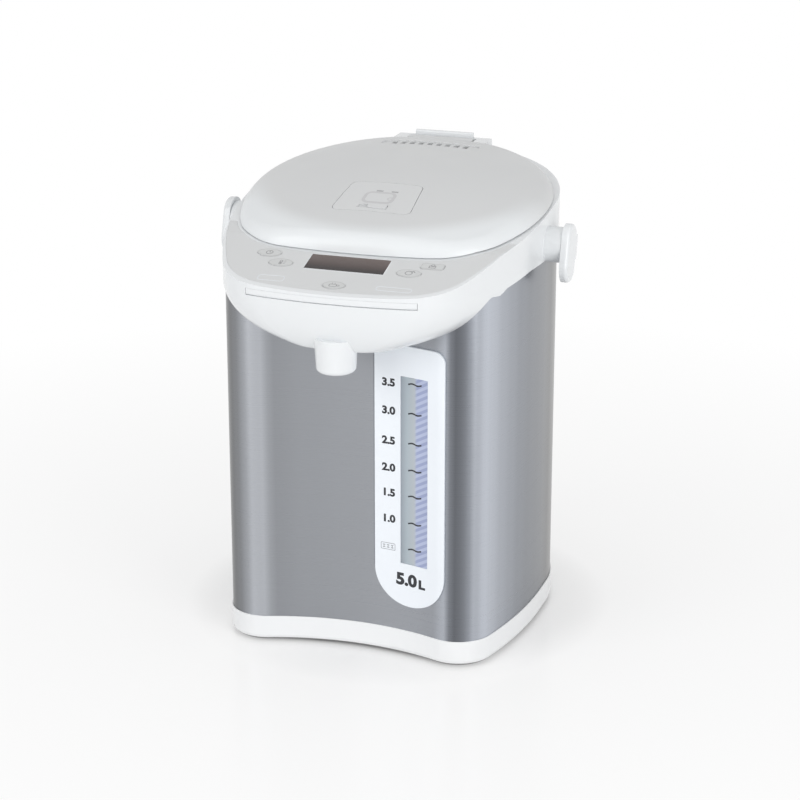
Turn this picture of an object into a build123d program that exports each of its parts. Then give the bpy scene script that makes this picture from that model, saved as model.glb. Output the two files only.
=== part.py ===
from build123d import *
import os
from math import atan, cos, radians, sin, sqrt

# Electric thermo pot on a swivel base. Millimetres, +Z up, front towards -Y.
# The origin is the swivel axis at the surface the pot stands on.

# ---------------------------------------------------------------- plan outlines
# Each outline has a hollowed or bowed front, two rounded front corners, bowed
# sides and a round rear with a short flat.  corner is where the front and side
# curves would meet, and the rear rounding starts at rear_start.
case_half = 110.6           # half width of the steel case
head_over = 2.2             # how far the head stands proud of the case's sides
lid_rim = 1.0               # the head's rim beside the lid
film_rim = 1.2              # the head's rim beside the control film
head_half = case_half + head_over

case_plan = dict(half_width=case_half, widest=0.0, rear_start=18.0, rear_flat=16.6, front=-98.0,
                 corner=(case_half - 22.1, -120.0), radius=26.0)
head_plan = dict(half_width=head_half, widest=0.0, rear_start=14.0, rear_flat=14.0, front=-151.5,
                 corner=(head_half - 35.6, -142.1), radius=44.6)
film_plan = dict(half_width=head_half - film_rim, widest=-5.0, rear_start=14.0, rear_flat=14.0, front=-147.0,
                 corner=(head_half - 38.8, -139.0), radius=44.0)
lid_plan = dict(half_width=head_half - lid_rim, widest=0.0, rear_start=2.0, rear_flat=2.0, front=-98.1,
                corner=(head_half - 32.4, -92.4), radius=53.0)
case_rear = case_plan["rear_start"] + case_half - case_plan["rear_flat"]

# ---------------------------------------------------------------- general sizes
sheet = 0.6                 # steel sheet of the case and the inner container
wall = 3.0                  # moulded walls of the head
thin_wall = 2.5             # moulded walls of the lid, the base and the covers
slack = 0.3                 # free gap between pieces that move past each other
fit = 0.1                   # radial clearance of pins, tubes and sleeves
snug = 0.05                 # clearance of pieces pressed in by hand
overlap = 1.0               # how far joined shapes of one piece run into each other

# ---------------------------------------------------------------- heights
foot_height = 2.0
skirt_bottom = 0.8
skirt_top = 20.0
case_top = 276.5            # upper edge of the case, under the head
deck_top = 281.5            # floor of the recess the lid sits in
deck_thick = 2.5
beak_bottom = 236.9

# ---------------------------------------------------------------- sloping tops
rim_height = 310.0          # height of the rim plane at y = 0
rim_slope = 0.15            # rise of the rim per millimetre towards the rear
panel_slope = 0.266         # the front panel falls more steeply
panel_break = -83.0         # where the panel meets the rim plane
seam_gap = 0.9              # shadow gap under the lid edge

# ---------------------------------------------------------------- container
jacket = 22.6               # room between the container and the case's sides
pot_y = 4.0                 # axis of the container and of the lid plug
pot_radius = case_half - jacket         # inner radius, 41 mm of height to the litre
pot_bottom = 62.0
pot_rim = 277.0
pot_flange = 9.0

# ---------------------------------------------------------------- moving parts
hinge_y, hinge_z = 103.0, 329.0
pivot_y, pivot_z = -3.5, 287.0      # carry handle pivots
handle_droop = 16.0                 # degrees below level at rest
pump_x, pump_y = 41.0, -58.0
riser_x, riser_y = pump_x, -94.0
nozzle_y = -135.0


def rim_z(y):
    """Height of the head's top surface on the centre line."""
    if y >= panel_break:
        return rim_height + rim_slope * y
    return rim_height + rim_slope * panel_break + panel_slope * (y - panel_break)


def side_curve(plan):
    """Centre x and radius of the long side curve."""
    corner_x, corner_y = plan["corner"]
    across, along = plan["half_width"] - corner_x, plan["widest"] - corner_y
    radius = (across ** 2 + along ** 2) / (2 * across)
    return plan["half_width"] - radius, radius


def half_width_at(plan, y):
    """Half width of an outline at y, behind its front corners."""
    if y > plan["rear_start"]:
        radius = plan["half_width"] - plan["rear_flat"]
        return plan["rear_flat"] + sqrt(radius ** 2 - (y - plan["rear_start"]) ** 2)
    if y > plan["widest"]:
        return plan["half_width"]
    center_x, radius = side_curve(plan)
    return center_x + sqrt(radius ** 2 - (y - plan["widest"]) ** 2)


def grown_corner(plan, grow):
    """Where the front and side curves meet once both are grown."""
    corner_x, corner_y = plan["corner"]
    bow = corner_y - plan["front"]              # negative where the front is hollow
    front_center = plan["front"] + (corner_x ** 2 + bow ** 2) / (2 * bow)
    front_radius = abs(front_center - plan["front"] + grow)
    side_center, side_radius = side_curve(plan)
    side_radius += grow
    rise = plan["widest"] - front_center
    apart = sqrt(side_center ** 2 + rise ** 2)
    along = (front_radius ** 2 - side_radius ** 2 + apart ** 2) / (2 * apart)
    off = sqrt(front_radius ** 2 - along ** 2)
    unit_x, unit_y = side_center / apart, rise / apart
    meets = [(along * unit_x - turn * off * unit_y, front_center + along * unit_y + turn * off * unit_x)
             for turn in (1, -1)]
    return min(meets, key=lambda point: (point[0] - corner_x) ** 2 + (point[1] - corner_y) ** 2)


def plan_face(plan, grow=0.0):
    """One closed plan outline, grown or shrunk by an even margin."""
    corner_x, corner_y = grown_corner(plan, grow)
    half, widest, front = plan["half_width"] + grow, plan["widest"], plan["front"] - grow
    start, flat = plan["rear_start"], plan["rear_flat"]
    rear = start + half - flat
    with BuildSketch() as face:
        with BuildLine():
            ThreePointArc((-corner_x, corner_y), (0, front), (corner_x, corner_y))
            for side in (1, -1):
                TangentArc((side * half, widest), (side * corner_x, corner_y), tangent=(0, -1))
                Line((side * half, widest), (side * half, start))
                TangentArc((side * half, start), (side * flat, rear), tangent=(0, 1))
            Line((flat, rear), (-flat, rear))
        make_face()
        fillet(face.vertices().group_by(Axis.Y)[0], plan["radius"] + grow)
    return face.sketch


def prism(plan, grow, low, high):
    """An upright block with one of the plan outlines."""
    with BuildPart() as block:
        with BuildSketch(Plane.XY.offset(low)):
            add(plan_face(plan, grow))
        extrude(amount=high - low)
    return block.part


def side_block(points, half_width):
    """A block with a side-view outline of (y, z) points, centred on x = 0."""
    with BuildPart() as block:
        with BuildSketch(Plane.YZ):
            with BuildLine():
                Polyline(*points, close=True)
            make_face()
        extrude(amount=half_width, both=True)
    return block.part


reach = 200.0                           # larger than the pot, for cutting blocks
below, above = 200.0, 400.0             # levels that clear the head both ways


def rim_block(level, lift):
    """The space between a level and the head's sloping top, shifted up by lift."""
    return side_block([
        (-reach, level), (reach, level), (reach, rim_z(reach) + lift),
        (panel_break, rim_z(panel_break) + lift), (-reach, rim_z(-reach) + lift),
    ], reach)


def under_rim(lift):
    """Everything of the head below its sloping top, shifted up by lift."""
    return rim_block(below, lift)


def over_rim(lift):
    """Everything above the head's sloping top, shifted up by lift."""
    return rim_block(above, lift)


def round_bar(center, direction, radius, length):
    """A cylinder that starts at center and runs along direction."""
    with BuildPart() as bar:
        with BuildSketch(Plane(origin=center, z_dir=direction)):
            Circle(radius)
        extrude(amount=length)
    return bar.part


def ring(center_x, center_y, inner, outer, low, high):
    """An upright ring or, with inner 0, a disc."""
    with BuildPart() as collar:
        with BuildSketch(Plane.XY.offset(low)):
            with Locations((center_x, center_y)):
                Circle(outer)
                if inner:
                    Circle(inner, mode=Mode.SUBTRACT)
        extrude(amount=high - low)
    return collar.part


def rounded_disc(center_x, center_y, radius, low, high, corner):
    """A disc with a rounded lower edge."""
    with BuildPart() as disc:
        add(ring(center_x, center_y, 0, radius, low, high))
        fillet(disc.edges().group_by(Axis.Z)[0], corner)
    return disc.part


def block(x, y, z):
    """A box given by its (low, high) pairs."""
    with BuildPart() as box:
        with Locations(((x[0] + x[1]) / 2, (y[0] + y[1]) / 2, (z[0] + z[1]) / 2)):
            Box(x[1] - x[0], y[1] - y[0], z[1] - z[0])
    return box.part


written = []                # labels of the finished pieces


def save(piece, label):
    """Label a finished piece and write its STEP file."""
    piece.label = label
    export_step(piece, f"parts/{label}.step")
    written.append(label)


os.makedirs("parts", exist_ok=True)

# ================================================================ swivel base
table_radius = 85.0
table_low, table_high = 1.5, 4.0
track_width, track_high = 6.0, 6.2      # ring the pot glides on
hub_radius = 10.0                       # boss of the bottom cover in the plate
hub_low, hub_high = 3.2, 6.2
hub_wall = 8.0
foot_radius, foot_circle, foot_count = 8.0, 70.0, 5
pad_radius, pad_thick, pad_wall = 24.0, 0.6, 5.0    # rubber pad that closes the pivot from below

with BuildPart() as swivel_plate:
    add(ring(0, 0, hub_radius + hub_wall, table_radius, table_low, table_high))
    add(ring(0, 0, table_radius - track_width, table_radius, table_low, track_high))
    add(ring(0, 0, hub_radius + fit, hub_radius + hub_wall + thin_wall, hub_low, hub_high))
    with BuildSketch(Plane.XY.offset(table_low)):
        with PolarLocations(foot_circle, foot_count):
            Circle(foot_radius)
    extrude(amount=foot_height - table_low, mode=Mode.SUBTRACT)
save(swivel_plate.part, "swivel_plate")

with BuildPart() as swivel_feet:
    with BuildSketch():
        with PolarLocations(foot_circle, foot_count):
            Circle(foot_radius)
    extrude(amount=foot_height)
    add(ring(0, 0, 0, pad_radius, 0, pad_thick))
    add(ring(0, 0, pad_radius - pad_wall, pad_radius, 0, table_low))
save(swivel_feet.part, "swivel_feet")

# ================================================================ bottom of the pot
cover_low = track_high + slack
cover_high = cover_low + thin_wall
washer_radius, washer_thick = 16.0, 1.0
washer_high = hub_low - slack
washer_low = washer_high - washer_thick
screw_radius, screw_head, head_height = 1.5, 3.4, 0.9
motor_radius = 16.0
motor_collar = 4.0                      # height of the ring that holds the motor
skirt_roll = 5.0                        # rounding of the skirt's lower edge
skirt_lip = 0.8                         # how far the skirt stands proud of the case
ledge = 1.5                             # depth of the ledge the case stands on
cover_inset = skirt_roll + thin_wall
rod_radius, rod_gap = 1.6, 1.4          # tie rods pass the container's flange with this gap
rod_circle = pot_radius + pot_flange + rod_gap + rod_radius
rod_angles = (0, 57, 123, 180)
boss_height = 8.0
screw_inset = 38.6                      # base screws inside the case's sides
screw_spots = [(side * (case_half - screw_inset), y) for side in (1, -1) for y in (-78.0, 62.0)]
screw_boss, boss_rib = 5.0, 3.0
screw_short = 2.0                       # the screws end this far below the bosses' tops
board_low, board_thick = 14.0, 1.6
board_x, board_y = (-78.0, -12.0), (-22.0, 44.0)
post_inset, post_radius = 5.0, 3.0
board_posts = [(x, y) for x in (board_x[0] + post_inset, board_x[1] - post_inset)
               for y in (board_y[0] + post_inset, board_y[1] - post_inset)]
slit_x, slit_y, slit_length, slit_width = 46.0, 30.0, 34.0, 3.0     # cooling slits of the cover
slit_pitch, slit_count = 12.0, 4

with BuildPart() as bottom_cover:
    add(prism(case_plan, -cover_inset, cover_low, cover_high))
    add(ring(0, 0, 0, hub_radius, washer_high, cover_low))
    add(ring(pump_x, pump_y, motor_radius + fit, motor_radius + thin_wall, cover_high,
             cover_high + motor_collar))
    with BuildSketch(Plane.XY.offset(cover_high)):
        with Locations(*board_posts):
            Circle(post_radius)
    extrude(amount=board_low - cover_high)
    with BuildSketch(Plane.XY.offset(cover_low)):
        with Locations((slit_x, slit_y)):
            with GridLocations(slit_pitch, slit_length, slit_count, 1):
                SlotOverall(slit_length, slit_width, rotation=90)
    extrude(amount=thin_wall, mode=Mode.SUBTRACT)
    add(ring(0, 0, 0, screw_radius + fit, washer_high, cover_high), mode=Mode.SUBTRACT)
    for spot_x, spot_y in screw_spots:
        add(ring(spot_x, spot_y, 0, screw_radius + fit, cover_low, cover_high), mode=Mode.SUBTRACT)
save(bottom_cover.part, "bottom_cover")

with BuildPart() as pivot_washer:
    add(ring(0, 0, screw_radius + fit, washer_radius, washer_low, washer_high))
save(pivot_washer.part, "pivot_washer")

with BuildPart() as base_screws:
    add(ring(0, 0, 0, screw_head, washer_low - head_height, washer_low))
    add(ring(0, 0, 0, screw_radius, washer_low, cover_high))
    for spot_x, spot_y in screw_spots:
        add(ring(spot_x, spot_y, 0, screw_head, cover_low - head_height, cover_low))
        add(ring(spot_x, spot_y, 0, screw_radius, cover_low, cover_high + boss_height - screw_short))
save(base_screws.part, "base_screws")

with BuildPart() as base_skirt:
    add(prism(case_plan, skirt_lip, skirt_bottom, skirt_top))
    fillet(base_skirt.edges().group_by(Axis.Z)[0], skirt_roll)
    add(prism(case_plan, -thin_wall, cover_high, skirt_top), mode=Mode.SUBTRACT)
    add(prism(case_plan, -cover_inset + slack, skirt_bottom, cover_high), mode=Mode.SUBTRACT)
    for spot_x, spot_y in screw_spots:
        side = -1 if spot_x < 0 else 1
        edge = side * (half_width_at(case_plan, spot_y) - thin_wall / 2)
        add(ring(spot_x, spot_y, 0, screw_boss, cover_high, cover_high + boss_height))
        add(block(sorted((spot_x, edge)), (spot_y - boss_rib / 2, spot_y + boss_rib / 2),
                  (cover_high, cover_high + boss_height)))
        add(ring(spot_x, spot_y, 0, screw_radius + fit, cover_high, cover_high + boss_height),
            mode=Mode.SUBTRACT)
    add(prism(case_plan, fit, skirt_top - ledge, skirt_top), mode=Mode.SUBTRACT)
save(base_skirt.part, "base_skirt")

# ================================================================ steel case
case_bottom = skirt_top - ledge
outlet_z = 261.0                        # where the outlet crosses the case
outlet_slot = 8.5
window_x, window_z = (35.5, 57.0), (72.0, 211.5)
window_ledge = 1.5
inlet_half, inlet_z = 22.0, (32.0, 58.0)

with BuildPart() as outer_case:
    add(prism(case_plan, 0, case_bottom, case_top))
    add(prism(case_plan, -sheet, case_bottom, case_top), mode=Mode.SUBTRACT)
    add(block((window_x[0] + window_ledge, window_x[1] - window_ledge), (-reach, 0),
              (window_z[0] + window_ledge, window_z[1] - window_ledge)), mode=Mode.SUBTRACT)
    add(block((riser_x - outlet_slot, riser_x + outlet_slot), (-reach, 0),
              (outlet_z - outlet_slot, case_top)), mode=Mode.SUBTRACT)
    add(block((-inlet_half - fit, inlet_half + fit), (0, reach), (inlet_z[0] - fit, inlet_z[1] + fit)),
        mode=Mode.SUBTRACT)
save(outer_case.part, "outer_case")

# ================================================================ level gauge on the front
gauge_x, gauge_top, gauge_corner = (15.5, 70.5), 233.5, 8.0
gauge_proud, window_proud = 1.6, 1.1
gauge_half = (gauge_x[1] - gauge_x[0]) / 2
gauge_foot = 67.0                       # centre height of the round lower end

with BuildPart() as gauge_frame:
    with BuildSketch(Plane.XZ):
        with BuildLine():
            RadiusArc((gauge_x[0], gauge_foot), (gauge_x[1], gauge_foot), -gauge_half)
            Line((gauge_x[1], gauge_foot), (gauge_x[1], gauge_top - gauge_corner))
            RadiusArc((gauge_x[1], gauge_top - gauge_corner), (gauge_x[1] - gauge_corner, gauge_top),
                      -gauge_corner)
            Polyline((gauge_x[1] - gauge_corner, gauge_top), (gauge_x[0], gauge_top),
                     (gauge_x[0], gauge_foot))
        make_face()
    extrude(amount=reach)
    add(prism(case_plan, gauge_proud, case_bottom, case_top), mode=Mode.INTERSECT)
    add(prism(case_plan, 0, case_bottom, case_top), mode=Mode.SUBTRACT)
    add(block(window_x, (-reach, 0), window_z), mode=Mode.SUBTRACT)
save(gauge_frame.part, "gauge_frame")

with BuildPart() as gauge_window:
    add(block((window_x[0] + fit, window_x[1] - fit), (-reach, 0), (window_z[0] + fit, window_z[1] - fit)))
    add(prism(case_plan, window_proud, case_bottom, case_top), mode=Mode.INTERSECT)
    add(prism(case_plan, 0, case_bottom, case_top), mode=Mode.SUBTRACT)
save(gauge_window.part, "gauge_window")

# ================================================================ inner container and heating
pot_under = pot_bottom - sheet
pot_corner = 4.0
drain_bore, drain_radius, drain_low = 5.0, 6.2, 56.0
strainer_edge, strainer_thick = 1.5, 1.2
strainer_hole, strainer_circle, strainer_count = 1.0, 3.2, 6
heater_inner, heater_outer, heater_thick = 20.0, 50.0, 6.0
tab_x, tab_y, tab_half, tab_thick = 35.0, 2.0, 3.0, 1.2         # terminal tabs of the heater
tab_low, tab_high = 14.0, 5.0           # both below the container
band_low, band_high, band_thick = 78.0, 104.0, 1.6
band_gap, clamp_thick, clamp_long, clamp_inset = 6.0, 2.0, 8.0, 4.0     # clamp ears of the band
stat_radius, stat_height, stat_x, stat_y = 7.0, 8.0, 10.0, 6.0
sensor_radius, sensor_height, sensor_y = 4.0, 10.0, -12.0
fuse_radius, fuse_length, fuse_y = 3.0, 24.0, 35.0
deck_hole = pot_radius + 5.0
deck_under = deck_top - deck_thick
seal_inset = 1.0                        # the rim seal inside the flange's edge

with BuildPart() as inner_container:
    add(ring(0, pot_y, 0, pot_radius + sheet, pot_under, pot_rim))
    fillet(inner_container.edges().group_by(Axis.Z)[0], pot_corner + sheet)
    add(ring(0, pot_y, 0, pot_radius + pot_flange, pot_rim, pot_rim + sheet))
    add(rounded_disc(0, pot_y, pot_radius, pot_bottom, pot_rim + sheet, pot_corner), mode=Mode.SUBTRACT)
    add(ring(pump_x, pump_y, 0, drain_radius, drain_low, pot_under))
    add(ring(pump_x, pump_y, 0, drain_bore, drain_low, pot_bottom), mode=Mode.SUBTRACT)
save(inner_container.part, "inner_container")

with BuildPart() as strainer:
    add(ring(pump_x, pump_y, 0, drain_radius + strainer_edge, pot_bottom, pot_bottom + strainer_thick))
    with BuildSketch(Plane.XY.offset(pot_bottom)):
        with Locations((pump_x, pump_y)):
            with PolarLocations(strainer_circle, strainer_count):
                Circle(strainer_hole)
            Circle(strainer_hole)
    extrude(amount=strainer_thick, mode=Mode.SUBTRACT)
save(strainer.part, "strainer")

with BuildPart() as heater_plate:
    add(ring(0, pot_y, heater_inner, heater_outer, pot_under - heater_thick, pot_under))
    for side in (-1, 1):
        add(block((side * tab_x - tab_half, side * tab_x + tab_half),
                  (pot_y + tab_y, pot_y + tab_y + tab_thick), (pot_under - tab_low, pot_under - tab_high)))
save(heater_plate.part, "heater_plate")

with BuildPart() as keep_warm_band:
    add(ring(0, pot_y, pot_radius + sheet + snug, pot_radius + sheet + band_thick, band_low, band_high))
    add(block((-band_gap / 2, band_gap / 2), (0, reach), (band_low, band_high)), mode=Mode.SUBTRACT)
    for side in (-1, 1):
        ear_edges = sorted((side * band_gap / 2, side * (band_gap / 2 + clamp_thick)))
        add(block(ear_edges, (pot_y + pot_radius + overlap, pot_y + pot_radius + overlap + clamp_long),
                  (band_low + clamp_inset, band_high - clamp_inset)))
save(keep_warm_band.part, "keep_warm_band")

with BuildPart() as thermostats:
    for side in (-1, 1):
        add(ring(side * stat_x, pot_y + stat_y, 0, stat_radius, pot_under - stat_height, pot_under))
save(thermostats.part, "thermostats")

with BuildPart() as temperature_sensor:
    add(ring(0, pot_y + sensor_y, 0, sensor_radius, pot_under - sensor_height, pot_under))
save(temperature_sensor.part, "temperature_sensor")

with BuildPart() as thermal_fuse:
    add(round_bar((-fuse_length / 2, pot_y + fuse_y, pot_under - heater_thick - fuse_radius), (1, 0, 0),
                  fuse_radius, fuse_length))
save(thermal_fuse.part, "thermal_fuse")

with BuildPart() as rim_seal:
    add(ring(0, pot_y, deck_hole + fit, pot_radius + pot_flange - seal_inset, pot_rim + sheet, deck_under))
save(rim_seal.part, "rim_seal")

with BuildPart() as tie_rods:
    with BuildSketch(Plane.XY.offset(cover_high)):
        for angle in rod_angles:
            with Locations((rod_circle * cos(radians(angle)), pot_y + rod_circle * sin(radians(angle)))):
                Circle(rod_radius)
    extrude(amount=deck_under - cover_high)
save(tie_rods.part, "tie_rods")

# ================================================================ pump and riser
motor_high = 30.0
shaft_radius, shaft_low = 1.5, 20.0
pump_radius, pump_wall = 20.0, 3.0
magnet_radius, magnet_gap = 12.0, 1.5   # the magnet above the motor's top
dry_high = 36.3                         # under the membrane
dry_gap = 0.8                           # between the magnet and the membrane
wet_low, wet_high = 38.0, 46.0
port_z, port_bore, port_radius = 41.1, 3.0, 4.8
port_length = 9.0
port_end = pump_y - pump_radius - port_length
disc_radius, disc_gap, disc_thick = 13.0, 0.5, 1.5      # the impeller's disc over the membrane
vane_count, vane_length, vane_thick, vane_high, vane_middle = 6, 9.0, 1.4, 4.0, 8.0
impeller_hub, impeller_gap = 4.0, 1.5
cover_thick = 2.0
inlet_tube_top = drain_low - 0.6
hose_wall, hose_short = 2.3, 0.5
tube_bore, tube_radius, tube_low, tube_high = 3.8, 5.0, 52.0, 250.0
elbow_radius, elbow_low, elbow_high, elbow_floor, elbow_arm = 7.2, 34.0, 60.0, 3.0, 6.7

with BuildPart() as pump_motor:
    add(ring(pump_x, pump_y, 0, motor_radius, cover_high, motor_high))
    add(ring(pump_x, pump_y, 0, shaft_radius + fit, shaft_low, motor_high), mode=Mode.SUBTRACT)
save(pump_motor.part, "pump_motor")

with BuildPart() as motor_rotor:
    add(ring(pump_x, pump_y, 0, shaft_radius, shaft_low + slack, dry_high - dry_gap))
    add(ring(pump_x, pump_y, 0, magnet_radius, motor_high + magnet_gap, dry_high - dry_gap))
save(motor_rotor.part, "motor_rotor")

with BuildPart() as pump_housing:
    add(ring(pump_x, pump_y, magnet_radius + overlap, pump_radius, motor_high, wet_high))
    add(ring(pump_x, pump_y, 0, pump_radius - overlap, dry_high, wet_low))
    add(ring(pump_x, pump_y, magnet_radius + overlap, pump_radius - pump_wall, motor_high + overlap,
             dry_high), mode=Mode.SUBTRACT)
    add(ring(pump_x, pump_y, 0, pump_radius - pump_wall, wet_low, wet_high), mode=Mode.SUBTRACT)
    add(round_bar((pump_x, pump_y - pump_radius + overlap, port_z), (0, -1, 0), port_radius,
                  port_length + overlap))
    add(round_bar((pump_x, pump_y - pump_radius + 2 * pump_wall, port_z), (0, -1, 0), port_bore, reach),
        mode=Mode.SUBTRACT)
    add(ring(pump_x, pump_y, 0, shaft_radius, wet_low, wet_high - overlap))
save(pump_housing.part, "pump_housing")

with BuildPart() as pump_impeller:
    add(ring(pump_x, pump_y, 0, disc_radius, wet_low + disc_gap, wet_low + disc_gap + disc_thick))
    add(ring(pump_x, pump_y, 0, impeller_hub, wet_low + disc_gap, wet_high - impeller_gap))
    with BuildSketch(Plane.XY.offset(wet_low + disc_gap + disc_thick)):
        with Locations((pump_x, pump_y)):
            with PolarLocations(vane_middle, vane_count):
                Rectangle(vane_length, vane_thick)
    extrude(amount=vane_high)
    add(ring(pump_x, pump_y, 0, shaft_radius + fit, wet_low, wet_high), mode=Mode.SUBTRACT)
save(pump_impeller.part, "pump_impeller")

with BuildPart() as pump_cover:
    add(ring(pump_x, pump_y, 0, pump_radius, wet_high, wet_high + cover_thick))
    add(ring(pump_x, pump_y, 0, drain_radius, wet_high + cover_thick, inlet_tube_top))
    add(ring(pump_x, pump_y, 0, drain_bore, wet_high, inlet_tube_top), mode=Mode.SUBTRACT)
save(pump_cover.part, "pump_cover")

with BuildPart() as inlet_hose:
    add(ring(pump_x, pump_y, drain_radius + fit, drain_radius + fit + hose_wall,
             wet_high + cover_thick + hose_short, pot_under - hose_short))
save(inlet_hose.part, "inlet_hose")

with BuildPart() as riser_elbow:
    add(ring(riser_x, riser_y, 0, elbow_radius, elbow_low, elbow_high))
    add(round_bar((riser_x, riser_y, port_z), (0, 1, 0), elbow_arm,
                  pump_y - pump_radius - overlap - riser_y))
    add(ring(riser_x, riser_y, 0, tube_bore, elbow_low + elbow_floor, tube_low), mode=Mode.SUBTRACT)
    add(ring(riser_x, riser_y, 0, tube_radius + fit, tube_low, elbow_high), mode=Mode.SUBTRACT)
    add(round_bar((riser_x, riser_y, port_z), (0, 1, 0), port_bore, reach), mode=Mode.SUBTRACT)
    add(round_bar((riser_x, port_end - fit, port_z), (0, 1, 0), port_radius + fit, reach),
        mode=Mode.SUBTRACT)
save(riser_elbow.part, "riser_elbow")

with BuildPart() as level_tube:
    add(ring(riser_x, riser_y, tube_bore, tube_radius, tube_low, tube_high))
save(level_tube.part, "level_tube")

valve_sleeve, valve_high = 6.0, 270.0   # the valve grips the tube by its sleeve
valve_low = tube_high - valve_sleeve
seat_bore, seat_thick = 2.5, 3.0
seat_high = tube_high + seat_thick
ball_radius, chamber_radius, chamber_high = 4.0, 5.0, 264.5
spigot_radius, spigot_bore, spigot_end = 4.0, 2.6, -108.0
ball_rest = seat_high + sqrt(ball_radius ** 2 - seat_bore ** 2) + slack

with BuildPart() as tip_valve:
    add(ring(riser_x, riser_y, 0, elbow_radius, valve_low, valve_high))
    add(round_bar((riser_x, riser_y, outlet_z), (0, -1, 0), spigot_radius, riser_y - spigot_end))
    add(ring(riser_x, riser_y, 0, tube_radius + fit, valve_low, tube_high), mode=Mode.SUBTRACT)
    add(ring(riser_x, riser_y, 0, seat_bore, tube_high, seat_high), mode=Mode.SUBTRACT)
    add(ring(riser_x, riser_y, 0, chamber_radius, seat_high, chamber_high), mode=Mode.SUBTRACT)
    add(round_bar((riser_x, riser_y, outlet_z), (0, -1, 0), spigot_bore, reach), mode=Mode.SUBTRACT)
save(tip_valve.part, "tip_valve")

with BuildPart() as tip_ball:
    with Locations((riser_x, riser_y, ball_rest)):
        Sphere(ball_radius)
save(tip_ball.part, "tip_ball")

nozzle_stub = 249.0                     # top of the nozzle's hose stub
outlet_turn, outlet_fall, outlet_bend = -122.0, 3.0, 9.0
outlet_wall, outlet_start, outlet_grip = 1.5, spigot_end + 4.0, 5.0

with BuildPart() as outlet_hose:
    with BuildLine():
        FilletPolyline((riser_x, outlet_start, outlet_z), (riser_x, outlet_turn, outlet_z),
                       (0, nozzle_y, outlet_z - outlet_fall), (0, nozzle_y, nozzle_stub - outlet_grip),
                       radius=outlet_bend)
    with BuildSketch(Plane(origin=(riser_x, outlet_start, outlet_z), z_dir=(0, -1, 0))):
        Circle(spigot_radius + fit + outlet_wall)
        Circle(spigot_radius + fit, mode=Mode.SUBTRACT)
    sweep()
save(outlet_hose.part, "outlet_hose")

# ================================================================ head
head_high = 340.0
skin = 2.5                              # panel thickness under the film
film = 0.8
film_lid_gap, film_back = 1.6, -62.0
well_step = 3.5                         # ledge of the rim under the lid edge
well_wall = 2.5
key_play = 0.25                         # gap around each key
key_proud, key_flange, flange_thick = 0.4, 1.2, 1.6
key_travel = 0.6
lens_size, lens_y, lens_thick, lens_ledge = (57.0, 19.4), -110.5, 1.6, 2.0
lens_sunk = 0.1                         # the lens below the film's surface
panel_y = -110.0
panel_angle = atan(panel_slope)
panel = Plane(origin=(0, panel_y, rim_z(panel_y)), x_dir=(1, 0, 0),
              z_dir=(0, -sin(panel_angle), cos(panel_angle)))
trim_half, trim_low, trim_high, trim_depth = 61.0, 273.4, 277.4, 1.5
trim_gap = 0.8                          # shadow groove under the trim strip
trim_back = -120.0
boss_radius, boss_length = 12.8, 14.3   # handle bosses, measured from the case's side
boss_out = case_half + boss_length
pivot_radius, pivot_in, pivot_proud = 5.0, case_half - 2.0, 4.0
nozzle_stem, stem_low, stem_high = 5.9, 4.0, 6.0       # stem through the bowl's floor

keys = {
    "timer_key": (-59.0, -104.5, 8.7, 5.0),
    "temperature_key": (-46.5, -116.0, 8.7, 5.0),
    "reboil_key": (45.5, -115.5, 8.7, 5.0),
    "lock_key": (59.0, -104.5, 8.2, 3.8),
    "dispense_key": (0.0, -138.5, 8.0, 4.8),
}
lock_corner = 2.0                       # corners of the rectangular lock key


def on_panel(y):
    """Distance along the sloping panel from its origin."""
    return (y - panel_y) / cos(panel_angle)


def key_outline(name, grow):
    """Oval of one key, in the sketch plane of the panel."""
    x, y, half_long, half_short = keys[name]
    with BuildSketch() as oval:
        with Locations((x, on_panel(y))):
            if name == "lock_key":
                RectangleRounded(2 * (half_long + grow), 2 * (half_short + grow), lock_corner + grow)
            else:
                Ellipse(half_long + grow, half_short + grow)
    return oval.sketch


beak_levels = (0.0, 0.25, 0.5, 0.7, 0.85, 0.97)
beak_tuck = 16.5                        # how far the bowl's front curves in
edge_line = ((-40.0, 0.0), (-75.0, 3.5), (-97.5, 13.5))    # y and fall of the head's lower edge
side_power, front_power = 2.4, 1.72     # fullness of the bowl across and along


def beak_plan(level):
    """Outline of the bowl under the panel at a depth of level, 0 to 1."""
    across = (1 - level ** side_power) ** (1 / side_power)
    along = (1 - level ** front_power) ** (1 / front_power)
    front = head_plan["front"] + beak_tuck * (1 - along)
    corner_x, corner_y = head_plan["corner"]
    bow = corner_y - head_plan["front"]
    return dict(half_width=head_plan["half_width"] * across, widest=head_plan["widest"], front=front,
                corner=(corner_x * across, front + bow * across), radius=head_plan["radius"] * across,
                rear_start=head_plan["rear_start"], rear_flat=head_plan["rear_flat"] * across)


def head_block(inset, floor, high):
    """The head's outer form, shrunk by inset, with the bowl down to floor."""
    with BuildPart() as bowl:
        for level in beak_levels:
            height = case_top - (case_top - floor) * level / beak_levels[-1]
            with BuildSketch(Plane.XY.offset(height)):
                add(plan_face(beak_plan(level), -inset))
        loft()
        add(prism(head_plan, -inset, case_top, high))
    return bowl.part


def panel_space(outline, shrink, keep_off, low, drop, back):
    """The crescent between an outline and the lid, up to drop below the top."""
    with BuildPart() as space:
        add(prism(outline, -shrink, low, head_high))
        add(prism(lid_plan, keep_off, low, head_high), mode=Mode.SUBTRACT)
        add(under_rim(-drop), mode=Mode.INTERSECT)
        add(block((-reach, reach), (back, reach), (low, head_high)), mode=Mode.SUBTRACT)
    return space.part


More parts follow.
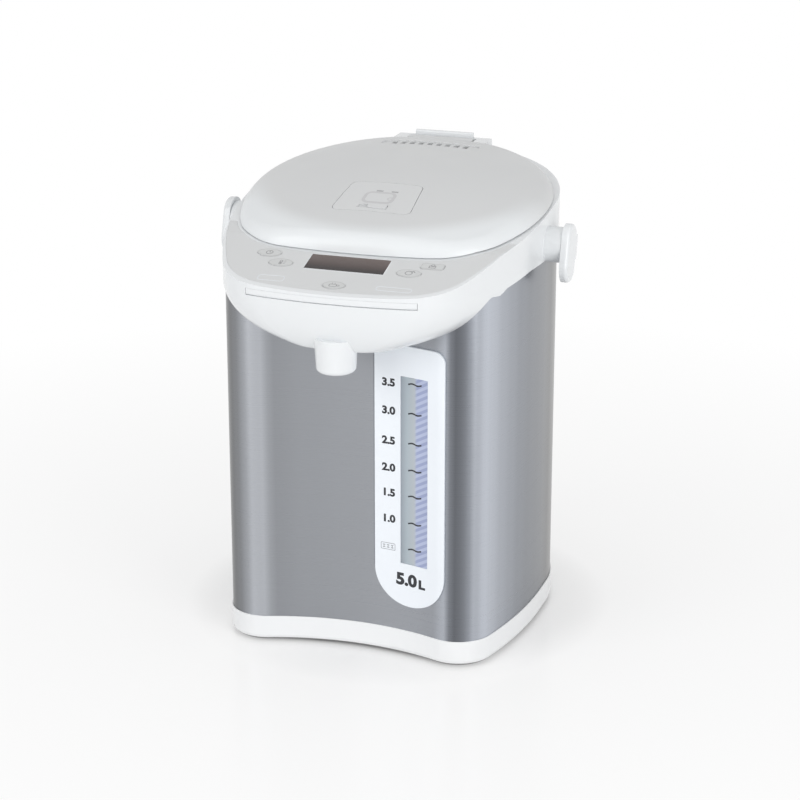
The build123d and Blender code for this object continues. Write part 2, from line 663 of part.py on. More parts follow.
housing_half, housing_y, housing_z, housing_round = 36.0, (95.5, 116.5), (300.0, 333.0), 3.0
knuckle_half, knuckle_radius, pin_radius = 25.0, 5.5, 2.5
pocket_side, pocket_under = 1.0, 2.0    # room around the knuckle
pin_short = 1.0                         # the pin's ends inside the housing
lever_half, lever_y, lever_z, lever_round = 22.5, (109.7, 113.7), (322.0, 337.0), 1.2
lever_travel = 2.0
post_spots = [(-70.0, -116.0), (70.0, -116.0), (-27.0, -136.0), (27.0, -136.0)]
board_drop, board_edge, board_back, board_half = 9.0, 6.5, -100.0, 76.0
panel_back = -20.0                      # the hollow under the panel ends here
post_sunk, bore_sunk = 1.0, 2.0         # tops of the posts and of their bores below the film
hole_depth = 8.0                        # cuts through the panel start this far below it

with BuildPart() as upper_shell:
    add(head_block(0, beak_bottom, head_high))
    add(over_rim(0), mode=Mode.SUBTRACT)
    add(prism(case_plan, slack, below, case_top), mode=Mode.SUBTRACT)
    add(side_block([(y, case_top - fall) for y, fall in edge_line]
                   + [(edge_line[-1][0], below), (reach, below), (reach, case_top)], reach),
        mode=Mode.SUBTRACT)
    add(head_block(wall, beak_bottom + wall, deck_under), mode=Mode.SUBTRACT)
    add(panel_space(head_plan, wall, well_wall - well_step, deck_under, film + skin, panel_back),
        mode=Mode.SUBTRACT)
    add(prism(lid_plan, -well_step, deck_top, head_high), mode=Mode.SUBTRACT)
    add(ring(0, pot_y, 0, deck_hole, deck_under, deck_top), mode=Mode.SUBTRACT)
    # hinge housing at the rear, with a pocket for the knuckle and a slot for the lever
    add(block((-housing_half, housing_half), housing_y, housing_z))
    fillet(upper_shell.edges().filter_by(Axis.X).group_by(Axis.Z)[-1].sort_by(Axis.Y)[-1:], housing_round)
    add(block((-knuckle_half - pocket_side, knuckle_half + pocket_side), (housing_y[0] - overlap, lever_y[0]),
              (hinge_z - knuckle_radius - pocket_under, housing_z[1] + overlap)), mode=Mode.SUBTRACT)
    add(block((-lever_half - slack, lever_half + slack), (lever_y[0] - slack, lever_y[1] + slack),
              (lever_z[0] - lever_travel - slack, housing_z[1] + overlap)), mode=Mode.SUBTRACT)
    add(round_bar((-housing_half, hinge_y, hinge_z), (1, 0, 0), pin_radius + snug, 2 * housing_half),
        mode=Mode.SUBTRACT)
    # film bed, lens bed, display window and key holes in the panel
    add(panel_space(film_plan, -fit, film_lid_gap - fit, below, -overlap, film_back + fit)
        - under_rim(-film), mode=Mode.SUBTRACT)
    with BuildSketch(panel.offset(-lens_sunk - lens_thick)):
        with Locations((0, on_panel(lens_y))):
            Rectangle(lens_size[0] + 2 * fit, lens_size[1] + 2 * fit)
    extrude(amount=lens_thick + overlap, mode=Mode.SUBTRACT)
    with BuildSketch(panel.offset(-hole_depth)):
        with Locations((0, on_panel(lens_y))):
            Rectangle(lens_size[0] - 2 * lens_ledge, lens_size[1] - 2 * lens_ledge)
        for key in keys:
            add(key_outline(key, key_play))
    extrude(amount=hole_depth + overlap, mode=Mode.SUBTRACT)
    # posts for the control board
    with BuildSketch(panel.offset(-board_drop)):
        for spot_x, spot_y in post_spots:
            with Locations((spot_x, on_panel(spot_y))):
                Circle(post_radius)
    extrude(amount=board_drop - film - post_sunk)
    with BuildSketch(panel.offset(-board_drop)):
        for spot_x, spot_y in post_spots:
            with Locations((spot_x, on_panel(spot_y))):
                Circle(screw_radius + fit)
    extrude(amount=board_drop - film - bore_sunk, mode=Mode.SUBTRACT)
    # bed of the front trim strip
    add(block((-trim_half - slack, trim_half + slack), (-reach, trim_back),
              (trim_low - trim_gap, trim_high + fit))
        - head_block(trim_depth + fit, beak_bottom, head_high), mode=Mode.SUBTRACT)
    # handle bosses and the nozzle hole
    for side in (-1, 1):
        add(round_bar((side * (case_half + slack), pivot_y, pivot_z), (side, 0, 0), boss_radius,
                      boss_length - slack))
        add(round_bar((side * pivot_in, pivot_y, pivot_z), (side, 0, 0), pivot_radius + snug,
                      boss_out - pivot_in), mode=Mode.SUBTRACT)
    add(ring(0, nozzle_y, 0, nozzle_stem + fit, beak_bottom - overlap, beak_bottom + 2 * stem_high),
        mode=Mode.SUBTRACT)
save(upper_shell.part, "upper_shell")

with BuildPart() as control_film:
    add(panel_space(film_plan, 0, film_lid_gap, below, 0, film_back) - under_rim(-film))
    with BuildSketch(panel.offset(-hole_depth)):
        with Locations((0, on_panel(lens_y))):
            Rectangle(lens_size[0] + 2 * fit, lens_size[1] + 2 * fit)
        for key in keys:
            add(key_outline(key, key_play))
    extrude(amount=hole_depth + overlap, mode=Mode.SUBTRACT)
save(control_film.part, "control_film")

with BuildPart() as display_lens:
    with BuildSketch(panel.offset(-lens_sunk - lens_thick)):
        with Locations((0, on_panel(lens_y))):
            Rectangle(*lens_size)
    extrude(amount=lens_thick)
save(display_lens.part, "display_lens")

flange_top = -film - skin - slack
for key in keys:
    with BuildPart() as key_cap:
        with BuildSketch(panel.offset(flange_top - flange_thick)):
            add(key_outline(key, key_flange))
        extrude(amount=flange_thick)
        with BuildSketch(panel.offset(flange_top - flange_thick)):
            add(key_outline(key, 0))
        extrude(amount=key_proud - flange_top + flange_thick)
    save(key_cap.part, key)

glass_size, glass_rise, glass_shift = (52.0, 14.0), 4.7, -0.8     # display glass on the board
switch_radius, switch_gap = 2.5, 0.2    # button switches end this far below the pressed keys
board_root = 0.5                        # how deep the board's parts are set into it

with BuildPart() as control_board:
    add(panel_space(head_plan, board_edge, film_lid_gap, below, board_drop / cos(panel_angle), board_back)
        - under_rim(-(board_drop + board_thick) / cos(panel_angle)))
    add(block((-board_half, board_half), (-reach, 0), (below, head_high)), mode=Mode.INTERSECT)
    with BuildSketch(panel.offset(-board_drop - board_root)):
        with Locations((0, on_panel(lens_y + glass_shift))):
            Rectangle(*glass_size)
    extrude(amount=glass_rise + board_root)
    with BuildSketch(panel.offset(-board_drop - board_root)):
        for x, y, half_long, half_short in keys.values():
            with Locations((x, on_panel(y))):
                Circle(switch_radius)
    extrude(amount=board_root + board_drop + flange_top - flange_thick - key_travel - switch_gap)
    with BuildSketch(panel.offset(-board_drop - board_thick - overlap)):
        for spot_x, spot_y in post_spots:
            with Locations((spot_x, on_panel(spot_y))):
                Circle(screw_radius + fit)
    extrude(amount=board_thick + 2 * overlap, mode=Mode.SUBTRACT)
save(control_board.part, "control_board")

board_screw_head, board_head_height, board_screw_grip = 2.8, 1.4, 4.0

with BuildPart() as board_screws:
    with BuildSketch(panel.offset(-board_drop - board_thick)):
        for spot_x, spot_y in post_spots:
            with Locations((spot_x, on_panel(spot_y))):
                Circle(screw_radius)
    extrude(amount=board_thick + board_screw_grip)
    with BuildSketch(panel.offset(-board_drop - board_thick - board_head_height)):
        for spot_x, spot_y in post_spots:
            with Locations((spot_x, on_panel(spot_y))):
                Circle(board_screw_head)
    extrude(amount=board_head_height)
save(board_screws.part, "board_screws")

with BuildPart() as front_trim:
    add(block((-trim_half, trim_half), (-reach, trim_back), (trim_low, trim_high)))
    add(head_block(0, beak_bottom, head_high), mode=Mode.INTERSECT)
    add(head_block(trim_depth, beak_bottom, head_high), mode=Mode.SUBTRACT)
save(front_trim.part, "front_trim")

nozzle_radius, nozzle_taper, nozzle_low, nozzle_sunk, nozzle_round = 15.0, 1.3, 221.3, 9.0, 3.5
mouth_radius, mouth_depth = 5.0, 10.0

with BuildPart() as nozzle:
    with BuildSketch(Plane.XY.offset(beak_bottom + nozzle_sunk)):
        with Locations((0, nozzle_y)):
            Circle(nozzle_radius)
    with BuildSketch(Plane.XY.offset(nozzle_low)):
        with Locations((0, nozzle_y)):
            Circle(nozzle_radius - nozzle_taper)
    loft()
    fillet(nozzle.edges().group_by(Axis.Z)[0], nozzle_round)
    add(head_block(0, beak_bottom, head_high), mode=Mode.SUBTRACT)
    add(ring(0, nozzle_y, 0, nozzle_stem, beak_bottom - stem_low, beak_bottom + stem_high))
    add(ring(0, nozzle_y, 0, spigot_radius, beak_bottom + stem_high, nozzle_stub))
    add(ring(0, nozzle_y, 0, mouth_radius, nozzle_low, nozzle_low + mouth_depth), mode=Mode.SUBTRACT)
    add(ring(0, nozzle_y, 0, spigot_bore, nozzle_low, nozzle_stub), mode=Mode.SUBTRACT)
save(nozzle.part, "nozzle")

with BuildPart() as handle_pivots:
    for side in (-1, 1):
        add(round_bar((side * (pivot_in + fit), pivot_y, pivot_z), (side, 0, 0), pivot_radius,
                      boss_out + pivot_proud - pivot_in - fit))
save(handle_pivots.part, "handle_pivots")

with BuildPart() as hinge_pin:
    add(round_bar((-housing_half + pin_short, hinge_y, hinge_z), (1, 0, 0), pin_radius,
                  2 * (housing_half - pin_short)))
save(hinge_pin.part, "hinge_pin")

with BuildPart() as hinge_lever:
    add(block((-lever_half, lever_half), lever_y, lever_z))
    fillet(hinge_lever.edges().filter_by(Axis.X).group_by(Axis.Z)[-1], lever_round)
save(hinge_lever.part, "hinge_lever")

# ================================================================ carry handle
ear_in, ear_thick = boss_out + slack, 5.8
ear_long, ear_wide, ear_round = 42.0, 24.5, 2.5
ear_shift, ear_drop = -0.8, 5.4         # centre of each ear, along and below the arm's line
arm_thick, arm_half, arm_start = 5.4, 9.0, boss_radius + 1.2
arm_in = ear_in - 4.5                   # the bail's band lies inside the ears
arm_out = arm_in + arm_thick
bend_center = 18.0                      # the bail's bend, measured along the arms
grip_thick, grip_half, grip_length = 14.7, 11.0, 46.0
grip_in = arm_in - 0.5                  # the grip is thicker than the band on its inner side too
grip_out = grip_in + grip_thick
root_long, root_thick = 3.0, 3.0        # joint between each arm and its ear
root_start = 8.0                        # inside the ear, measured along the arm
socket_deep = pivot_proud + fit - slack # sockets of the pivots in the ears
droop = radians(handle_droop)
arm_way = (0, cos(droop), -sin(droop))
bail = Plane(origin=(0, pivot_y, pivot_z), x_dir=(1, 0, 0), z_dir=(0, sin(droop), cos(droop)))


def handle_ear(plane, side):
    """One long round ear of the handle, with its outer edge rounded."""
    with BuildPart() as ear:
        with BuildSketch(plane):
            with Locations((ear_shift, -side * ear_drop)):
                SlotOverall(ear_long, ear_wide, rotation=90)
        extrude(amount=ear_thick)
        fillet(ear.faces().sort_by(Axis(plane.origin, plane.z_dir))[-1].edges(), ear_round)
    return ear.part


with BuildPart() as carry_handle:
    with BuildSketch(bail.offset(-arm_half)):
        with BuildLine():
            ThreePointArc((-arm_out, bend_center), (0, bend_center + arm_out), (arm_out, bend_center))
            ThreePointArc((-arm_in, bend_center), (0, bend_center + arm_in), (arm_in, bend_center))
            for side in (-1, 1):
                Polyline((side * arm_out, bend_center), (side * arm_out, arm_start),
                         (side * arm_in, arm_start), (side * arm_in, bend_center))
        make_face()
    extrude(amount=2 * arm_half)
    with BuildSketch(bail.offset(-grip_half)):
        with Locations((0, bend_center)):
            Circle(grip_out)
            Circle(grip_in, mode=Mode.SUBTRACT)
        with Locations((0, bend_center + grip_out)):
            Rectangle(2 * grip_length, grip_out, mode=Mode.INTERSECT)
    extrude(amount=2 * grip_half)
    for side in (-1, 1):
        ear_plane = Plane(origin=(side * ear_in, pivot_y, pivot_z), x_dir=arm_way, z_dir=(side, 0, 0))
        add(handle_ear(ear_plane, side))
        with BuildSketch(ear_plane.offset(arm_in - ear_in)):
            with Locations((arm_start + root_long / 2, 0)):
                Rectangle(root_long, 2 * arm_half)
        extrude(amount=ear_in - arm_in + root_thick)
        with BuildSketch(ear_plane):
            with Locations(((root_start + arm_start + root_long) / 2, 0)):
                Rectangle(arm_start + root_long - root_start, 2 * arm_half)
        extrude(amount=root_thick)
        add(round_bar((side * ear_in, pivot_y, pivot_z), (side, 0, 0), pivot_radius + fit, socket_deep),
            mode=Mode.SUBTRACT)
save(carry_handle.part, "carry_handle")

# ================================================================ lid
dome_radius, dome_rise = 500.0, 20.0
rim_angle = atan(rim_slope)
dome_center = (0, sin(rim_angle) * (dome_radius - dome_rise),
               rim_height - cos(rim_angle) * (dome_radius - dome_rise))
lid_floor = deck_top + 1.0
lid_inset = 8.0                         # tray walls inside the lid edge
brim, brim_gap = 2.0, 1.2               # the tray's edge and its gap to the rounded shell
lid_rear, tray_rear, rear_half = 94.5, 92.0, 38.0
press_y, press_half_front, press_half_rear, press_depth, press_corner = -43.0, 29.0, 26.0, 43.0, 5.0
press_gap, press_skirt, press_wall = 0.4, 306.0, 2.0
press_seat = 310.0                      # top of the bellows under the press plate
guide_wall, guide_drop = 1.6, 1.0       # collars around the press plate and the vent
lid_round, dome_low = 13.0, 270.0
vent_y, vent_size, vent_low, vent_drop = 75.0, (76.0, 13.0), 324.0, 0.8
vent_pitch, vent_count, vent_slot = 6.9, 9, (9.4, 3.8)
vent_hollow, vent_floor, vent_roof = 2.0, 2.0, 7.0     # hollow under the slots, from vent_low
duct_bore, duct_radius, air_bore = 5.0, 6.5, 3.0
bellows_radius, bellows_wall, bellows_folds, fold_depth = 18.0, 1.2, 5, 4.0
plug_radius, plug_low, plug_round = pot_radius - 4.0, 272.0, 3.0
plate_hole, plate_circle, plate_count, plate_shift = 1.5, 5.0, 6, -4.0
gasket_radius, gasket_low = pot_radius + 2.0, pot_rim + sheet + slack


def dome_z(x, y):
    """Height of the lid's domed top."""
    return dome_center[2] + sqrt(dome_radius ** 2 - x ** 2 - (y - dome_center[1]) ** 2)


def dome_block(inset):
    """The lid's outline under its domed top, all shrunk by inset."""
    with BuildPart() as dome:
        add(prism(lid_plan, -inset, dome_low, above))
        with Locations(dome_center):
            Sphere(dome_radius - inset, mode=Mode.INTERSECT)
        fillet(dome.faces().sort_by(Axis.Z)[-1].edges(), lid_round - inset)
    return dome.part


def under_dome(drop):
    """Everything below the domed top."""
    with BuildPart() as ball:
        with Locations(dome_center):
            Sphere(dome_radius - drop)
    return ball.part


def press_outline(grow, low, high):
    """An upright block with the outline of the press plate."""
    front, rear = press_y - press_depth / 2 - grow, press_y + press_depth / 2 + grow
    with BuildPart() as pad:
        with BuildSketch(Plane.XY.offset(low)) as pad_sketch:
            with BuildLine():
                Polyline((-press_half_front - grow, front), (press_half_front + grow, front),
                         (press_half_rear + grow, rear), (-press_half_rear - grow, rear), close=True)
            make_face()
            fillet(pad_sketch.vertices(), press_corner + grow)
        extrude(amount=high - low)
    return pad.part


def vent_outline(grow, low, high):
    """An upright block with the outline of the steam vent."""
    with BuildPart() as slot:
        with BuildSketch(Plane.XY.offset(low)):
            with Locations((0, vent_y)):
                SlotOverall(vent_size[0] + 2 * grow, vent_size[1] + 2 * grow)
        extrude(amount=high - low)
    return slot.part


rear_wall_half = rear_half + thin_wall  # the cut-out for the hinge housing has walls of its own
web_low, web_high = 0.5, 1.0            # the knuckle's web inside the knuckle's height

with BuildPart() as lid_shell:
    add(dome_block(0))
    add(dome_block(thin_wall), mode=Mode.SUBTRACT)
    add(block((-rear_half, rear_half), (lid_rear, reach), (below, above)), mode=Mode.SUBTRACT)
    add(block((-rear_wall_half, rear_wall_half), (lid_rear - thin_wall, lid_rear), (below, above))
        & dome_block(0))
    add(press_outline(press_gap + guide_wall, below, above) & under_dome(guide_drop))
    add(press_outline(press_gap, below, above), mode=Mode.SUBTRACT)
    add(vent_outline(fit + guide_wall, vent_low - guide_wall, above) & under_dome(guide_drop))
    add(vent_outline(fit, below, above), mode=Mode.SUBTRACT)
    add(under_rim(seam_gap), mode=Mode.SUBTRACT)
    add(block((-knuckle_half, knuckle_half), (lid_rear - thin_wall, hinge_y),
              (hinge_z - knuckle_radius + web_low, hinge_z + knuckle_radius - web_high)))
    add(round_bar((-knuckle_half, hinge_y, hinge_z), (1, 0, 0), knuckle_radius, 2 * knuckle_half))
    add(round_bar((-knuckle_half, hinge_y, hinge_z), (1, 0, 0), pin_radius + fit, 2 * knuckle_half),
        mode=Mode.SUBTRACT)
save(lid_shell.part, "lid_shell")

with BuildPart() as lid_tray:
    add(prism(lid_plan, -lid_inset, lid_floor, head_high))
    add(over_rim(seam_gap + brim), mode=Mode.SUBTRACT)
    add(dome_block(thin_wall + brim_gap) & (under_rim(seam_gap + brim) - under_rim(seam_gap)))
    add(prism(lid_plan, -lid_inset - thin_wall, lid_floor + thin_wall, head_high), mode=Mode.SUBTRACT)
    add(block((-rear_wall_half - slack, rear_wall_half + slack), (tray_rear, reach), (below, above)),
        mode=Mode.SUBTRACT)
    add(block((-rear_wall_half, rear_wall_half), (tray_rear - thin_wall, tray_rear), (lid_floor, above))
        & under_rim(seam_gap + brim))
    add(ring(0, vent_y, 0, duct_radius + fit, below, lid_floor + thin_wall), mode=Mode.SUBTRACT)
    add(ring(0, press_y, 0, air_bore, below, lid_floor + thin_wall), mode=Mode.SUBTRACT)
save(lid_tray.part, "lid_tray")

with BuildPart() as inner_plate:
    add(rounded_disc(0, pot_y, plug_radius, plug_low, lid_floor, plug_round + sheet))
    add(rounded_disc(0, pot_y, plug_radius - sheet, plug_low + sheet, lid_floor, plug_round),
        mode=Mode.SUBTRACT)
    with BuildSketch(Plane.XY.offset(plug_low)):
        with Locations((0, vent_y + plate_shift), (0, press_y)):
            with PolarLocations(plate_circle, plate_count):
                Circle(plate_hole)
    extrude(amount=sheet, mode=Mode.SUBTRACT)
save(inner_plate.part, "inner_plate")

with BuildPart() as lid_gasket:
    add(ring(0, pot_y, plug_radius + fit, gasket_radius, gasket_low, lid_floor))
save(lid_gasket.part, "lid_gasket")

with BuildPart() as steam_duct:
    add(ring(0, vent_y, duct_bore, duct_radius, lid_floor, vent_low))
save(steam_duct.part, "steam_duct")

with BuildPart() as steam_grille:
    add(vent_outline(0, vent_low, above) & under_dome(vent_drop))
    add(vent_outline(-vent_hollow, vent_low + vent_floor, vent_low + vent_roof), mode=Mode.SUBTRACT)
    with BuildSketch(Plane.XY.offset(vent_low + vent_roof - overlap)):
        with Locations((0, vent_y)):
            with GridLocations(vent_pitch, 1, vent_count, 1):
                SlotOverall(*vent_slot, rotation=90)
    extrude(amount=vent_size[1], mode=Mode.SUBTRACT)
    add(ring(0, vent_y, 0, duct_bore - overlap, vent_low, vent_low + vent_floor + overlap),
        mode=Mode.SUBTRACT)
save(steam_grille.part, "steam_grille")

slider_y, slider_shift, slider_size, slider_corner = -58.0, 3.5, (14.0, 4.6), 1.5
slider_play, slider_proud, slider_deep = 0.3, 0.9, 1.0
slider_top = dome_z(0, slider_y)
slider_tilt = (0, (slider_y - dome_center[1]) / dome_radius, (slider_top - dome_center[2]) / dome_radius)
slider_bed = Plane(origin=(0, slider_y, slider_top), x_dir=(1, 0, 0), z_dir=slider_tilt)
seat_in, seat_out = 3.0, 1.5            # the bellows' seat ring beside the bellows' radius

with BuildPart() as press_plate:
    add(press_outline(0, press_skirt, above) & under_dome(0))
    add(press_outline(-press_wall, press_skirt, above) & under_dome(thin_wall), mode=Mode.SUBTRACT)
    add(ring(0, press_y, bellows_radius - seat_in, bellows_radius + seat_out, press_seat, above)
        & under_dome(guide_drop))
    with BuildSketch(slider_bed.offset(-slider_deep - slack)):
        Rectangle(slider_size[0] + 2 * slider_shift + 2 * slider_play, slider_size[1] + 2 * slider_play)
    extrude(amount=slider_deep + slack + overlap, mode=Mode.SUBTRACT)
save(press_plate.part, "press_plate")

with BuildPart() as lock_slider:
    with BuildSketch(slider_bed.offset(-slider_deep)):
        with Locations((slider_shift, 0)):
            RectangleRounded(*slider_size, slider_corner)
    extrude(amount=slider_deep + slider_proud)
save(lock_slider.part, "lock_slider")

bellows_low = lid_floor + thin_wall
fold = (press_seat - bellows_low) / bellows_folds

with BuildPart() as air_bellows:
    with BuildSketch(Plane(origin=(0, press_y, bellows_low), x_dir=(1, 0, 0), z_dir=(0, -1, 0))):
        with BuildLine():
            crest = [(bellows_radius - (fold_depth if step % 2 else 0), step * fold / 2)
                     for step in range(2 * bellows_folds + 1)]
            back = [(x - bellows_wall, z) for x, z in reversed(crest)]
            Polyline(*crest, *back, close=True)
        make_face()
    revolve(axis=Axis((0, press_y, 0), (0, 0, 1)))
save(air_bellows.part, "air_bellows")

# ================================================================ electrics in the base
inlet_y = (case_rear - 14.0, case_rear)
inlet_round, inlet_flange, flange_side = 3.0, 2.0, 4.0
socket_half, socket_z, socket_deep_y = 17.0, (36.5, 53.5), 9.0
inlet_mid = (inlet_z[0] + inlet_z[1]) / 2
pin_half, pin_spots, pin_tail, pin_long = 2.0, (-9.0, 9.0), 4.0, 13.0

with BuildPart() as power_inlet:
    add(block((-inlet_half, inlet_half), inlet_y, inlet_z))
    fillet(power_inlet.edges().filter_by(Axis.Y), inlet_round)
    add(block((-socket_half, socket_half), (inlet_y[1] - socket_deep_y, inlet_y[1]), socket_z),
        mode=Mode.SUBTRACT)
    # flange inside the case
    add(block((-inlet_half - flange_side, inlet_half + flange_side), (inlet_y[0], inlet_y[0] + inlet_flange),
              (inlet_z[0] - inlet_round, inlet_z[1] + inlet_round)))
    for spot in pin_spots:
        add(round_bar((spot, inlet_y[0], inlet_mid), (0, 1, 0), pin_half + fit, reach), mode=Mode.SUBTRACT)
save(power_inlet.part, "power_inlet")

with BuildPart() as inlet_pins:
    for spot in pin_spots:
        add(round_bar((spot, inlet_y[0] - pin_tail, inlet_mid), (0, 1, 0), pin_half, pin_long))
save(inlet_pins.part, "inlet_pins")

board_top = board_low + board_thick
transformer = dict(x=(-72.0, -46.0), y=(-4.0, 20.0), rise=22.0)
relay = dict(x=(-38.0, -20.0), y=(14.0, 30.0), rise=15.0)
connector = dict(x=(-38.0, -24.0), y=(-8.0, 4.0), rise=12.0)
capacitor_spot, capacitor_radius, capacitor_rise = (-58.0, 33.0), 6.0, 20.0

with BuildPart() as power_board:
    add(block(board_x, board_y, (board_low, board_top)))
    for box in (transformer, relay, connector):
        add(block(box["x"], box["y"], (board_top, board_top + box["rise"])))
    add(ring(*capacitor_spot, 0, capacitor_radius, board_top, board_top + capacitor_rise))
save(power_board.part, "power_board")

print(len(written), "pieces written")
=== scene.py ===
from math import atan, cos, pi, radians, sin, sqrt

import bmesh
import bpy
from mathutils import Matrix, Vector


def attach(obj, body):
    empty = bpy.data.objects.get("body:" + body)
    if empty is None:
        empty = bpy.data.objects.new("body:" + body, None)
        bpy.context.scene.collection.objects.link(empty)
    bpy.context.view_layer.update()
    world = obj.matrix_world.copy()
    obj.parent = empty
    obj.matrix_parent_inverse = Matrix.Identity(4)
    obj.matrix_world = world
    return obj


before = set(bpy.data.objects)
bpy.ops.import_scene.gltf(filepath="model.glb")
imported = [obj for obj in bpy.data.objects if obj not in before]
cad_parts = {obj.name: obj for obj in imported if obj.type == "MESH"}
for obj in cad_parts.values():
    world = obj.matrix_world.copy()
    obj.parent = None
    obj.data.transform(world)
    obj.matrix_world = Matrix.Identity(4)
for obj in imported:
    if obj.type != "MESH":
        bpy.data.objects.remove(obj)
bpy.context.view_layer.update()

# ------------------------------------------------------------------ swivel base
# A turned white plate on five rubber feet.  The plate is moulded polypropylene
# with a fine grain, the feet are soft black rubber pressed into round seats.
cloud_cells, wear_cells = 9.0, 40.0             # noise cells in a metre: clouds of tone, patches of gloss
shade_start, shade_end = 0.35, 0.65             # the noise values between which a shade changes
gloss_start, gloss_end = 0.3, 0.7               # and those between which the gloss changes


def start_material(name):
    """A material that holds only its shader and its output, with its tree and its shader."""
    material = bpy.data.materials.new(name)
    material.use_nodes = True
    tree = material.node_tree
    tree.nodes.clear()
    output = tree.nodes.new("ShaderNodeOutputMaterial")
    shader = tree.nodes.new("ShaderNodeBsdfPrincipled")
    tree.links.new(shader.outputs["BSDF"], output.inputs["Surface"])
    return material, tree, shader


def object_point(tree):
    """The shaded point in the object's own coordinates, in metres."""
    return tree.nodes.new("ShaderNodeTexCoord").outputs["Object"]


def object_noise(tree, scale, detail=3.0, stretch=(1.0, 1.0, 1.0)):
    """Noise over the object's own coordinates; scale is in cells per metre."""
    spread = tree.nodes.new("ShaderNodeMapping")
    spread.inputs["Scale"].default_value = stretch
    noise = tree.nodes.new("ShaderNodeTexNoise")
    noise.inputs["Scale"].default_value = scale
    noise.inputs["Detail"].default_value = detail
    tree.links.new(object_point(tree), spread.inputs["Vector"])
    tree.links.new(spread.outputs["Vector"], noise.inputs["Vector"])
    return noise.outputs["Fac"]


def map_range(tree, value, start, end, low=0.0, high=1.0, interpolation="LINEAR"):
    """Goes from low to high as a value goes from start to end."""
    span = tree.nodes.new("ShaderNodeMapRange")
    span.interpolation_type = interpolation
    span.inputs["From Min"].default_value = start
    span.inputs["From Max"].default_value = end
    span.inputs["To Min"].default_value = low
    span.inputs["To Max"].default_value = high
    tree.links.new(value, span.inputs["Value"])
    return span.outputs["Result"]


def color_stops(tree, value, stops, interpolation="LINEAR"):
    """Runs through colours; each stop is a value from 0 to 1 and the colour there."""
    ramp = tree.nodes.new("ShaderNodeValToRGB")
    ramp.color_ramp.interpolation = interpolation
    elements = ramp.color_ramp.elements
    while len(elements) > 1:
        elements.remove(elements[-1])
    for step, (position, color) in enumerate(stops):
        element = elements[0] if step == 0 else elements.new(position)
        element.position = position
        element.color = (*color, 1.0)
    tree.links.new(value, ramp.inputs["Fac"])
    return ramp.outputs["Color"]


def shade_between(tree, noise, dark, light):
    """Goes from a dark to a light shade over the middle of a noise."""
    return color_stops(tree, noise, ((shade_start, dark), (shade_end, light)))


def add_gloss(tree, shader, noise, low, high):
    """Roughness from low to high over the middle of a noise."""
    rough = map_range(tree, noise, gloss_start, gloss_end, low, high)
    tree.links.new(rough, shader.inputs["Roughness"])


def add_grain(tree, shader, noise, height):
    """A fine surface relief, height in metres."""
    relief = tree.nodes.new("ShaderNodeBump")
    relief.inputs["Strength"].default_value = 1.0
    relief.inputs["Distance"].default_value = height
    tree.links.new(noise, relief.inputs["Height"])
    tree.links.new(relief.outputs["Normal"], shader.inputs["Normal"])


def moulded_plastic(name, dark, light, rough, coat=0.0, grain=900.0, height=2e-6):
    """Moulded plastic: close shades in soft clouds, uneven gloss and a fine grain."""
    material, tree, shader = start_material(name)
    color = shade_between(tree, object_noise(tree, cloud_cells, detail=1.0), dark, light)
    tree.links.new(color, shader.inputs["Base Color"])
    add_gloss(tree, shader, object_noise(tree, wear_cells, detail=2.0), rough * 0.92, rough * 1.08)
    shader.inputs["Coat Weight"].default_value = coat
    shader.inputs["Coat Roughness"].default_value = 0.12
    add_grain(tree, shader, object_noise(tree, grain, detail=2.0), height)
    return material


def dress(material, *nodes):
    """Gives pieces of the frame their finish."""
    for node in nodes:
        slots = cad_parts[node].data.materials
        slots.clear()
        slots.append(material)


base_white = moulded_plastic("base_white", (0.74, 0.74, 0.73), (0.77, 0.77, 0.76), 0.42)
foot_rubber = moulded_plastic("foot_rubber", (0.018, 0.018, 0.019), (0.035, 0.035, 0.036), 0.75,
                              grain=1500.0, height=2e-5)
dress(base_white, "swivel_plate", "bottom_cover")
dress(foot_rubber, "swivel_feet")

# ------------------------------------------------------------------ white housings
# The base skirt, head, nozzle, handle and release lever are injection moulded in
# glossy white ABS, a little cool in tone.  The gloss is slightly uneven.
glossy_white = moulded_plastic("glossy_white", (0.81, 0.83, 0.845), (0.825, 0.845, 0.86), 0.24, coat=0.3)
dress(glossy_white, "upper_shell", "front_trim", "carry_handle", "nozzle", "hinge_lever")

# The skirt's rolled lower edge is painted dark as a shadow line.
skirt_painted_shadow_to, skirt_white_from = 0.0026, 0.0033        # heights on the skirt's rolled lower edge


def share_along(tree, axis, start, end):
    """Zero to one as the object's own X, Y or Z goes from start to end, in metres."""
    axes = tree.nodes.new("ShaderNodeSeparateXYZ")
    tree.links.new(object_point(tree), axes.inputs["Vector"])
    return map_range(tree, axes.outputs[axis], start, end)


def mix_colors(tree, share, first, second, blend="MIX"):
    """Goes from a first to a second colour; each of the three is a socket or a value."""
    mix = tree.nodes.new("ShaderNodeMix")
    mix.data_type = "RGBA"
    mix.blend_type = blend
    for socket, source in (("Factor", share), ("A", first), ("B", second)):
        if isinstance(source, bpy.types.NodeSocket):
            tree.links.new(source, mix.inputs[socket])
        else:
            mix.inputs[socket].default_value = source
    return mix.outputs["Result"]


def shadowed_plastic(name, dark_to, white_from, shadow, dark, light, gloss, coat=0.0):
    """White plastic between two close shades, with painted shade up to a height."""
    material, tree, shader = start_material(name)
    white = shade_between(tree, object_noise(tree, cloud_cells, detail=1.0), dark, light)
    color = mix_colors(tree, share_along(tree, "Z", dark_to, white_from), (*shadow, 1.0), white)
    tree.links.new(color, shader.inputs["Base Color"])
    add_gloss(tree, shader, object_noise(tree, wear_cells, detail=2.0), *gloss)
    shader.inputs["Coat Weight"].default_value = coat
    return material


skirt_white = shadowed_plastic("skirt_white", skirt_painted_shadow_to, skirt_white_from, (0.09, 0.09, 0.09),
                               (0.88, 0.89, 0.90), (0.895, 0.905, 0.915), gloss=(0.22, 0.26), coat=0.3)
dress(skirt_white, "base_skirt")

